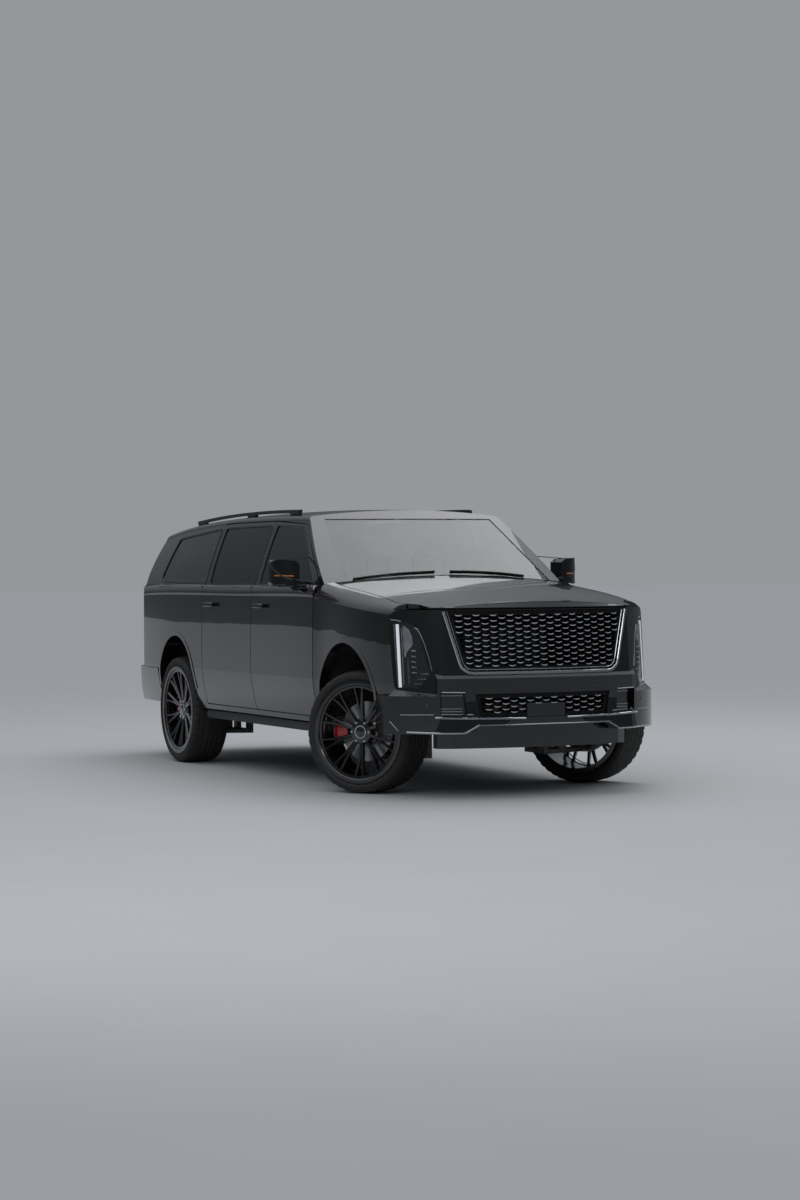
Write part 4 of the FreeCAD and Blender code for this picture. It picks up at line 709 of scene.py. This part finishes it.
def build_lamp(side, lens):
    label = side_of(side)

    def lay(suffix, material, strips, step=0.02):
        strips = [(front_points(side, *places), width, height) for places, width, height in strips]
        moulded(f"{label}_{suffix}", "body", "lamp", material, lens, FRONT, strips, step=step)

    lay("light_guide", LIGHT_GUIDE, [(column_points((0.912, 1.157), (0.911, 0.742)), 0.022, 0.007)])
    lay("inner_guide", REFLECTOR, [(column_points((0.8935, 1.133), (0.8945, 0.758)), 0.006, 0.004)])
    dots = [(0.927 - 0.0001 * k, 1.156 - 0.0105 * k) for k in range(39)]
    lay("light_dots", CHROME, [(((y + 0.0025, z), (y - 0.0025, z)), 0.0055, 0.005) for y, z in dots], 0.005)
    bowl = pad_between(lens, front_points(side, *((outer, z) for z, outer, _ in REFLECTOR_EDGE)),
                       front_points(side, *((inner, z) for z, _, inner in REFLECTOR_EDGE)), FRONT, 0.003)
    add_mesh(f"{label}_reflector", *bowl, "body", "lamp", REFLECTOR)
    specks = [0.922 - 0.011 * k for k in range(15)]
    lay("lens_specks", DARK_CHROME, [(((0.873, z), (0.864, z)), 0.0045, 0.004) for z in specks], 0.005)
    lay("lens_bars", CHROME, short_bars(LENS_BARS, 0.010, 0.006), 0.01)
    lay("lower_bars", DARK_CHROME, short_bars(DARK_BARS, 0.005, 0.004), 0.01)
    moulded(f"{label}_lamp_bezel", "body", "paint", DARK_CHROME, SKIN_FRONT, FRONT,
            [(rounded(front_points(side, *BEZEL_LINE), 0.02, closed=False), 0.005, 0.003)])


def build_lamps():
    lens = tree_of("headlamps", "front_bumper")
    for side in SIDES:
        build_lamp(side, lens)


build_lamps()

SENSORS = (
    # distance from the middle, height
    (0.36, 0.742),
    (-0.36, 0.742),
    (0.80, 0.625),
    (-0.80, 0.625),
)
SENSOR_PROFILE = (
    # height above the skin, radius
    (-0.002, 0.011),
    (0.0012, 0.011),
    (0.002, 0.009),
    (0.0022, 0.003),
)
PLATE_FRONT = 2.894


def both_sides(*strips):
    """Strips of (places, width, height) for the left and then the right of the front."""
    return [(front_points(side, *places), width, height) for side in SIDES for places, width, height in strips]


def build_bumper_trim():
    trims = (
        # name, slot, material, strips
        ("bumper_bright_strip", "grille_black", CHROME, both_sides(
            (((0.753, 0.545), (0.50, 0.537), (0.155, 0.533)), 0.012, 0.006),
            (((0.735, 0.566), (0.515, 0.562)), 0.007, 0.005),
            (((0.716, 0.712), (0.568, 0.708)), 0.005, 0.004))),
        ("vent_slats", "grille_black", DARK_CHROME, both_sides(
            *((((0.712, z), (0.574, z)), 0.005, 0.006) for z in (0.688, 0.602, 0.584)))),
        ("skid_trim", "grille_black", DARK_CHROME, both_sides(
            (((0.905, 0.449), (0.740, 0.443), (0.575, 0.442), (0.480, 0.492)), 0.012, 0.007))
            + [(front_points(1, (-0.480, 0.492), (0.480, 0.492)), 0.008, 0.006)]),
        # The corner grooves are real grooves in the painted bumper; the bright metallic strips laid in them are
        # painted highlights that stand for the light caught along them.
        ("corner_groove_painted_highlight", "paint", DARK_CHROME, both_sides(
            (((0.761, 0.565), (0.937, 0.563)), 0.004, 0.002),
            (((0.985, 0.520), (0.947, 0.457)), 0.004, 0.002))),
    )
    for name, slot, material, strips in trims:
        moulded(name, "body", slot, material, SKIN_FRONT, FRONT, strips)
    place, _ = met_from_ahead(FACE, 0, 0.55)
    bracket = box_part((place.x - 0.03, -0.140, 0.537), (PLATE_FRONT, 0.140, 0.631), 0.006)
    add_mesh("plate_bracket", *bracket, "body", "black_plastic", SATIN_BLACK)
    dots = Shape()
    for y, z in SENSORS:
        place, normal = met_from_ahead(SKIN_FRONT, y, z)
        side = normal.cross(UP).normalized()
        lift = normal.cross(side)
        spread = [math.cos(k * math.pi / 8) * side + math.sin(k * math.pi / 8) * lift for k in range(16)]
        dots.add(*skin([[place + normal * depth + radius * out for out in spread]
                        for depth, radius in SENSOR_PROFILE]))
    dots.piece("parking_sensors", "body", "black_plastic", GLOSS_BLACK)


build_bumper_trim()


# Hood and windshield

BAND_HALF = 0.672
BAND_LOW = 1.262
WIPERS = (
    # hinge end, free end
    (0.62, 0.02),
    (-0.10, -0.72),
)


def build_hood_trim():
    tree = tree_of("hood")
    rings = []
    for k in range(29):
        y = BAND_HALF * (k / 14 - 1)
        place, _ = met_from_ahead(tree, y, 1.266)
        share = 1.0 - 0.75 * max(0.0, abs(y) - 0.5) / 0.172
        high = 1.299 - 0.026 * (abs(y) / 0.6) ** 1.5
        rings.append([Vector((place.x + depth * share, y, z)) for depth, z in (
            (-0.006, BAND_LOW), (0.017, BAND_LOW), (0.020, BAND_LOW + 0.0035), (0.0045, high),
            (-0.006, high + 0.0005))])
    add_mesh("hood_front_band", *skin(rings), "hood", "paint", PAINT)
    glass = tree_of("fixed_glass")
    blade = Shape()
    for start, end in WIPERS:
        across = [start + (end - start) * k / 10 for k in range(11)]
        near = [(1.9, y, 1.499 - 0.060 * (y / 0.8) ** 2) for y in across]
        places, normals = landed(glass, near, FRONT)
        blade.add(*strip_part([p + n * 0.006 for p, n in zip(places, normals)], normals, 0.008, 0.006, 0.006))
    blade.piece("wiper_blades", "body", "black_plastic", RUBBER)


build_hood_trim()


# Sides

WINDOW_FRAMES = (
    # node, body, corners of the window in the side view
    ("front_{}_door", "front_{}_door", ((1.1585, 1.420), (0.1975, 1.420), (0.1455, 1.845), (0.6485, 1.818))),
    ("rear_{}_door", "rear_{}_door", ((0.0815, 1.420), (-0.8555, 1.420), (-0.9075, 1.840), (0.0295, 1.845))),
    ("body_sides", "body", ((-0.9755, 1.420), (-2.0435, 1.436), (-2.0885, 1.472), (-2.0135, 1.770),
                            (-1.0295, 1.838))),
)
ARCHES = (
    # middle of the wheel opening, radius of its lip
    (1.8635, 0.470),
    (-1.5435, 0.453),
)
ARCH_HEIGHT = 0.570


def grown_loop(points, distance):
    """Corners moved away from the middle of the loop."""
    middle = sum((Vector(p) for p in points), Vector((0, 0))) / len(points)
    return [Vector(p) + (Vector(p) - middle).normalized() * distance for p in points]


def build_window_trim():
    for side in SIDES:
        label = side_of(side)
        for node, body, corners in WINDOW_FRAMES:
            node = node.format(label)
            body = body.format(label)
            tree = tree_of(node)
            loop = [(x, side, z) for x, z in grown_loop(corners, 0.016)]
            moulded(f"{node}_{label}_window_seal", body, "black_plastic", SATIN_BLACK, tree, inwards(side),
                    [(rounded(loop, 0.03), 0.013, 0.004)], step=0.04, closed=True)
            low = min(z for _, z in corners) - 0.024
            xs = [x for x, z in corners if z < low + 0.06]
            belt = [(max(xs) + 0.02, side, low), (min(xs) - 0.02, side, low)]
            moulded(f"{node}_{label}_belt_strip", body, "paint", GLOSS_BLACK, tree, inwards(side),
                    [(belt, 0.016, 0.006)], step=0.05)


build_window_trim()


def arch_line(middle, radius, side):
    """Points round the lip of a wheel opening, from front to rear."""
    angles = [math.radians(4 + 172 * k / 40) for k in range(41)]
    return [(middle + radius * math.cos(a), side * 1.2, ARCH_HEIGHT + radius * math.sin(a)) for a in angles]


def build_arches():
    tree = tree_of("front_fenders", "front_bumper", "body_sides", "rear_bumper")
    for side in SIDES:
        moulded(f"{side_of(side)}_arch_lips", "body", "paint", PAINT, tree, inwards(side),
                [(arch_line(middle, radius, side), 0.034, 0.005) for middle, radius in ARCHES], step=0.06)


build_arches()

HANDLES = (
    # door, rear end, front end of the grip
    ("front", 0.2245, 0.4345),
    ("rear", -0.8185, -0.6085),
)
HANDLE_PARTS = (
    # suffix, slot, material, growth of its length, inner face, outer face, bottom, top, chamfer
    ("cover", "paint", PAINT, 0.003, 1.040, 1.0585, 1.2435, 1.2785, 0.006),
    ("insert", "grille_black", CHROME, -0.004, 1.0575, 1.0600, 1.2690, 1.2735, 0.001),
)
HANDLE_MIDDLE = 1.261
DOOR_LEAN = 0.10
MIRROR_ROWS = (
    # height, inner end, outer end
    (1.430, 1.070, 1.150),
    (1.450, 1.062, 1.178),
    (1.500, 1.058, 1.190),
    (1.545, 1.058, 1.188),
    (1.570, 1.066, 1.170),
)
BEHIND_MIRROR = 0.6
BEFORE_MIRROR = 1.15
FLAP_CORNERS = ((-1.930, 0.985), (-2.085, 0.985), (-2.085, 1.145), (-1.930, 1.145))


def leaning(part, side):
    """A part whose top leans inwards with the door."""
    verts, faces = part
    return [Vector((v.x, v.y - side * DOOR_LEAN * (v.z - HANDLE_MIDDLE), v.z)) for v in verts], faces


def build_handles(side):
    for door, rear, front in HANDLES:
        body = f"{door}_{side_of(side)}_door"
        for suffix, slot, material, growth, inner, outer, bottom, top, chamfer in HANDLE_PARTS:
            low, high = sorted((side * inner, side * outer))
            block = box_part((rear - growth, low, bottom), (front + growth, high, top), chamfer)
            add_mesh(f"{body}_handle_{suffix}", *leaning(block, side), body, slot, material)


def build_mirror(side):
    body = f"front_{side_of(side)}_door"
    tree = tree_of(body)
    glass = pad_between(tree, [(BEHIND_MIRROR, side * inner, z) for z, inner, _ in MIRROR_ROWS],
                        [(BEHIND_MIRROR, side * outer, z) for z, _, outer in MIRROR_ROWS], BACK, 0.003)
    add_mesh(f"{body}_mirror_glass", *glass, body, "glass", MIRROR_GLASS)
    line = [(BEFORE_MIRROR, side * 1.085, 1.478), (BEFORE_MIRROR, side * 1.195, 1.482)]
    moulded(f"{body}_mirror_indicator", body, "lamp", AMBER, tree, FRONT, [(line, 0.008, 0.003)])


def build_doors():
    tree = tree_of("body_sides")
    for side in SIDES:
        build_handles(side)
        moulded(f"{side_of(side)}_sill_strip", "body", "grille_black", GLOSS_BLACK, tree, inwards(side),
                [([(1.300, side, 0.506), (-0.950, side, 0.502)], 0.010, 0.004)], step=0.05)
        build_mirror(side)
    moulded("fuel_flap_seam", "body", "paint", SATIN_BLACK, tree, inwards(1),
            [(rounded([(x, 1.2, z) for x, z in FLAP_CORNERS], 0.03), 0.003, 0.0012)], step=0.03, closed=True)


build_doors()


# Tail

PLATE_HEIGHTS = (0.985, 1.035, 1.085, 1.130)
PLATE_HALF = 0.255
PIPE_LINE = ((-2.570, -0.290, 0.478), (-2.680, -0.300, 0.470), (-2.780, -0.350, 0.422), (-2.868, -0.362, 0.416))
TIP_LINE = ((-2.780, -0.352, 0.4215), (-2.872, -0.3625, 0.4155))


def build_tail():
    lamps = tree_of("tail_lamps")
    gate = tree_of("liftgate")
    bumper = tree_of("rear_bumper")
    for side in SIDES:
        label = side_of(side)
        moulded(f"{label}_tail_guide", "body", "tail_lamp", TAIL_GUIDE, lamps, BACK,
                [(rear_points(side, *column_points((y, 1.385), (y, 0.830))), width, 0.004)
                 for y, width in ((0.858, 0.012), (0.905, 0.008))])
        moulded(f"{label}_reversing_lens", "body", "tail_lamp", REFLECTOR, lamps, BACK,
                [(rear_points(side, (0.840, 1.060), (0.925, 1.060)), 0.030, 0.003)])
        moulded(f"{label}_rear_reflector", "body", "tail_lamp", TAIL_RED, bumper, BACK,
                [(rear_points(side, (0.620, 0.600), (0.800, 0.600)), 0.022, 0.004)])
    pipe = Shape(ring_part(rounded(PIPE_LINE, 0.05, closed=False), 0.0275, 24), ring_part(TIP_LINE, 0.031, 24))
    pipe.piece("tail_pipe", "body", "steel", DARK_CHROME)
    moulded("rear_step_pad", "body", "black_plastic", SATIN_BLACK, bumper, BACK, [
        (rear_points(1, (-0.700, 0.700), (0.700, 0.700)), 0.040, 0.006),
        (rear_points(1, (-0.860, 0.520), (-0.080, 0.500)), 0.014, 0.006),
        (rear_points(1, (0.080, 0.500), (0.860, 0.520)), 0.014, 0.006)], step=0.05)
    recess = pad_between(gate, rear_points(1, *((-PLATE_HALF, z) for z in PLATE_HEIGHTS)),
                         rear_points(1, *((PLATE_HALF, z) for z in PLATE_HEIGHTS)), BACK, 0.004, columns=8)
    add_mesh("rear_plate_recess", *recess, "liftgate", "black_plastic", SATIN_BLACK)
    moulded("liftgate_bar", "liftgate", "grille_black", DARK_CHROME, gate, BACK,
            [(rear_points(1, (-0.420, 1.175), (0.420, 1.175)), 0.026, 0.012)], step=0.05)
    moulded("rear_wiper", "liftgate", "black_plastic", RUBBER, tree_of("liftgate_glass"), BACK,
            [(rear_points(1, (0.02, 1.465), (-0.400, 1.480)), 0.012, 0.014)], step=0.03, sink=0.001)


build_tail()


# Seats and dashboard

AIR_PRESSURE = 4
CLOTH_FRAMES = 20


def pad_shape(width, length, thick, bolster, waist):
    """A closed pad along its length: rounded edges, raised side bolsters and sides that pull in a little."""
    rings = []
    parts = 22
    for k in range(parts + 1):
        t = k / parts
        edge = min(1.0, 4.5 * min(t, 1 - t) + 0.35)
        swell = math.sqrt(1 - (1 - edge) ** 2)
        half = width / 2 * (0.90 + 0.10 * swell) - waist * math.sin(math.pi * t)
        ring = []
        for i in range(28):
            angle = 2 * math.pi * i / 28
            c, n = math.cos(angle), math.sin(angle)
            y = half * math.copysign(abs(c) ** 0.35, c)
            z = thick / 2 * swell * math.copysign(abs(n) ** 0.45, n)
            if n > 0:
                z += bolster * swell * min(1.0, (abs(y) / half) ** 4)
            ring.append(Vector((length * t, y, z)))
        rings.append(ring)
    return skin(rings)


def evaluated_mesh(item):
    return bpy.data.meshes.new_from_object(item.evaluated_get(bpy.context.evaluated_depsgraph_get()))


def swollen(name, part, voxel, cap):
    """The part after a cloth simulation with air inside, no point moved further than the cap."""
    scene = bpy.context.scene
    verts, faces = part
    mesh = bpy.data.meshes.new(name)
    mesh.from_pydata([tuple(v) for v in verts], [], faces)
    pad = bpy.data.objects.new(name, mesh)
    scene.collection.objects.link(pad)
    remesh = pad.modifiers.new("remesh", "REMESH")
    remesh.mode = "VOXEL"
    remesh.voxel_size = voxel
    base = evaluated_mesh(pad)
    pad.modifiers.clear()
    pad.data = base
    start = [v.co.copy() for v in base.vertices]
    cloth = pad.modifiers.new("cloth", "CLOTH")
    cloth.settings.quality = 4
    cloth.settings.mass = 0.3
    cloth.settings.use_pressure = True
    cloth.settings.uniform_pressure_force = AIR_PRESSURE
    cloth.settings.effector_weights.gravity = 0
    cloth.point_cache.frame_start = 1
    cloth.point_cache.frame_end = CLOTH_FRAMES
    for frame_number in range(1, CLOTH_FRAMES + 1):
        scene.frame_set(frame_number)
    blown = evaluated_mesh(pad)
    for vertex, blown_vertex in zip(base.vertices, blown.vertices):
        move = blown_vertex.co - start[vertex.index]
        if move.length > cap:
            move = move.normalized() * cap
        vertex.co = start[vertex.index] + move
    pad.modifiers.clear()
    scene.frame_set(1)
    smooth = pad.modifiers.new("smooth", "SUBSURF")
    smooth.levels = 1
    fine = evaluated_mesh(pad)
    verts = [v.co.copy() for v in fine.vertices]
    normals = [v.normal.copy() for v in fine.vertices]
    faces = [list(face.vertices) for face in fine.polygons]
    bpy.data.objects.remove(pad)
    return verts, normals, faces


def dip(distance, width):
    return math.exp(-(distance / width) ** 2)


def sewn(verts, normals, seam, channels, width=0.0075):
    """Seams beside the middle panel, and shallow channels across it."""
    result = []
    for point, normal in zip(verts, normals):
        depth = 0.0
        if normal.z > 0.2:
            depth += 0.007 * dip(abs(point.y) - seam, width)
            if abs(point.y) < seam:
                depth += sum(0.0045 * dip(point.x - x, width) for x in channels)
        result.append(point - normal * depth)
    return result


POST_RADIUS = 0.006
SEATS = (
    # name, rear end of the cushion, distance from the middle, width, floor, cushion top, back top, node
    ("front", 0.1995, 0.410, 0.52, 0.560, 0.930, 1.440, "front_seats"),
    ("second_row", -0.7105, 0.410, 0.52, 0.560, 0.950, 1.450, "second_row_seats"),
    ("third_row", -1.3935, 0.325, 0.62, 0.690, 0.970, 1.430, "third_row_seats"),
)


def build_seats():
    form = pad_shape(width=0.484, length=0.470, thick=0.135, bolster=0.012, waist=0.006)
    cushion_verts, normals, cushion_faces = swollen("cushion_form", form, voxel=0.012, cap=0.022)
    cushion_verts = sewn(cushion_verts, normals, 0.150, (0.10, 0.18, 0.26, 0.34))
    form = pad_shape(width=0.468, length=0.575, thick=0.085, bolster=0.010, waist=0.010)
    back_verts, normals, back_faces = swollen("back_form", form, voxel=0.012, cap=0.018)
    back_verts = sewn(back_verts, normals, 0.145, (0.12, 0.21, 0.30, 0.39, 0.48))
    form = pad_shape(width=0.235, length=0.145, thick=0.075, bolster=0.0, waist=0.004)
    head_verts, _, head_faces = swollen("head_form", form, voxel=0.009, cap=0.010)
    for name, x, middle, width, floor, top, back_top, node in SEATS:
        stretch = width / 0.52
        made = []
        for side in SIDES:
            label = f"{name}_{side_of(side)}"
            y = side * middle
            rise = back_top - top + 0.10
            lean = Vector((-0.12, 0, rise)).normalized()
            facing = Vector((lean.z, 0, -lean.x))
            scale = rise / 0.61
            corner = Vector((x + 0.018, y, top - 0.088))
            foot = Vector((x + 0.050, y, top - 0.105))
            neck = Vector((x - 0.080, y, back_top + 0.034))
            pads = (
                ("cushion", [corner + Vector((v.x, v.y * stretch, v.z)) for v in cushion_verts], cushion_faces),
                ("back", [foot + lean * v.x * scale + Vector((0, v.y * stretch, 0)) + facing * v.z
                          for v in back_verts], back_faces),
                ("head_rest", [neck + lean * v.x + Vector((0, v.y, 0)) + facing * v.z
                               for v in head_verts], head_faces),
            )
            for suffix, verts, faces in pads:
                made.append(add_mesh(f"{label}_{suffix}", verts, faces, "body", "leather", LEATHER, 80))
            posts = Shape()
            for offset in (-0.055, 0.055):
                posts.add(*ring_part([(x - 0.075, y + offset, back_top - 0.03),
                                      (x - 0.078, y + offset, back_top + 0.045)], POST_RADIUS))
            made.append(posts.piece(f"{label}_head_rest_posts", "body", "steel", DARK_CHROME))
            low, high = y - (width - 0.12) / 2, y + (width - 0.12) / 2
            base = box_part((x + 0.06, low, floor + 0.0005), (x + 0.43, high, top - 0.160), 0.02)
            made.append(add_mesh(f"{label}_base", *base, "body", "trim", SOFT_TRIM))
        for pad in made:
            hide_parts(node)


build_seats()

STEERING_MIDDLE = (0.8035, 0.41, 1.15)
STEERING_R = 0.176
STEERING_GRIP = 0.0165


def build_cabin_trim():
    screen = box_part((0.872, -0.050, 1.175), (0.886, 0.655, 1.325), 0.005)
    add_mesh("dash_display", *screen, "body", "trim", SCREEN_DARK)
    lean = Vector((-0.90, 0, 0.43)).normalized()
    across = Vector((0, 1, 0))
    rise = lean.cross(across).normalized()
    spread = [math.cos(k * math.pi / 24) * across + math.sin(k * math.pi / 24) * rise for k in range(48)]
    circle = [Vector(STEERING_MIDDLE) + STEERING_R * out for out in spread]
    grip = ring_part(circle, STEERING_GRIP, 12, closed=True)
    add_mesh("steering_wheel_cover", *grip, "body", "leather", LEATHER)


build_cabin_trim()


# Stage, light and camera

def stage_material(name, color):
    return surface(name, color, tuple(c * 0.985 for c in color), 1.5, (0.75, 0.9), 0.0004, 60)


FLOOR_COLOR = (0.50, 0.505, 0.51)
FLOOR_HALF = 160
BACKDROP_COLOR = (0.30, 0.312, 0.328)
SKY_STRENGTH = 0.95
SKY = (
    # height, colour
    (0.0, (0.055, 0.06, 0.065)),
    (0.42, (0.26, 0.28, 0.30)),
    (0.85, (0.92, 0.95, 1.0)),
)
LAMPS = (
    # name, place, target, width, height, power
    ("windshield_softbox", (-1.7, 3.5, 9.0), (1.0, 0, 1.65), 8, 6, 215),
    ("front_fill", (9, -6, 5), (1.5, 0, 0.8), 6, 3, 120),
)


def build_stage():
    mesh = bpy.data.meshes.new("floor")
    corners = ((-1, -1), (1, -1), (1, 1), (-1, 1))
    mesh.from_pydata([(x * FLOOR_HALF, y * FLOOR_HALF, 0) for x, y in corners], [], [(0, 1, 2, 3)])
    floor = bpy.data.objects.new("floor", mesh)
    bpy.context.scene.collection.objects.link(floor)
    mesh.materials.append(stage_material("pale_floor", FLOOR_COLOR))


build_stage()


def area_light(name, place, target, size, size_y, power):
    data = bpy.data.lights.new(name, "AREA")
    data.shape = "RECTANGLE"
    data.size = size
    data.size_y = size_y
    data.energy = power
    lamp = bpy.data.objects.new(name, data)
    lamp.location = place
    lamp.rotation_euler = (Vector(target) - Vector(place)).to_track_quat("-Z", "Y").to_euler()
    bpy.context.scene.collection.objects.link(lamp)


def build_light():
    world = bpy.data.worlds.new("studio")
    bpy.context.scene.world = world
    world.use_nodes = True
    nodes, links = world.node_tree.nodes, world.node_tree.links
    nodes.clear()
    out = nodes.new("ShaderNodeOutputWorld")
    shade = nodes.new("ShaderNodeBackground")
    where = nodes.new("ShaderNodeTexCoord")
    split = nodes.new("ShaderNodeSeparateXYZ")
    ramp = nodes.new("ShaderNodeValToRGB")
    ramp.color_ramp.elements.new(0.5)
    for element, (height, color) in zip(ramp.color_ramp.elements, SKY):
        element.position = height
        element.color = (*color, 1)
    links.new(where.outputs["Generated"], split.inputs["Vector"])
    links.new(split.outputs["Z"], ramp.inputs["Fac"])
    links.new(ramp.outputs["Color"], shade.inputs["Color"])
    shade.inputs["Strength"].default_value = SKY_STRENGTH
    plain = nodes.new("ShaderNodeBackground")
    plain.inputs["Color"].default_value = (*BACKDROP_COLOR, 1)
    ray = nodes.new("ShaderNodeLightPath")
    choice = nodes.new("ShaderNodeMixShader")
    links.new(ray.outputs["Is Camera Ray"], choice.inputs["Fac"])
    links.new(shade.outputs["Background"], choice.inputs[1])
    links.new(plain.outputs["Background"], choice.inputs[2])
    links.new(choice.outputs["Shader"], out.inputs["Surface"])
    for lamp in LAMPS:
        area_light(*lamp)


build_light()

CAMERA_PLACE = (19.00477, -8.30539, 1.53576)
CAMERA_TURN = (2.718896, -0.0120586, -0.00790839)
FOCAL_PIXELS = 2735.396
IMAGE_HEIGHT = 1200
SENSOR = 36


def build_camera():
    data = bpy.data.cameras.new("camera")
    data.sensor_width = SENSOR
    data.lens = FOCAL_PIXELS / IMAGE_HEIGHT * SENSOR
    data.clip_end = 500
    camera = bpy.data.objects.new("camera", data)
    bpy.context.scene.collection.objects.link(camera)
    yaw, pitch, roll = CAMERA_TURN
    forward = Vector((math.cos(pitch) * math.cos(yaw), math.cos(pitch) * math.sin(yaw), math.sin(pitch)))
    right = forward.cross(UP).normalized()
    upward = right.cross(forward)
    right = right * math.cos(roll) + upward * math.sin(roll)
    upward = right.cross(forward)
    place = Matrix((right, upward, -forward)).transposed().to_4x4()
    place.translation = Vector(CAMERA_PLACE)
    camera.matrix_world = place
    bpy.context.scene.camera = camera


build_camera()

scene = bpy.context.scene
scene.view_settings.view_transform = "Standard"
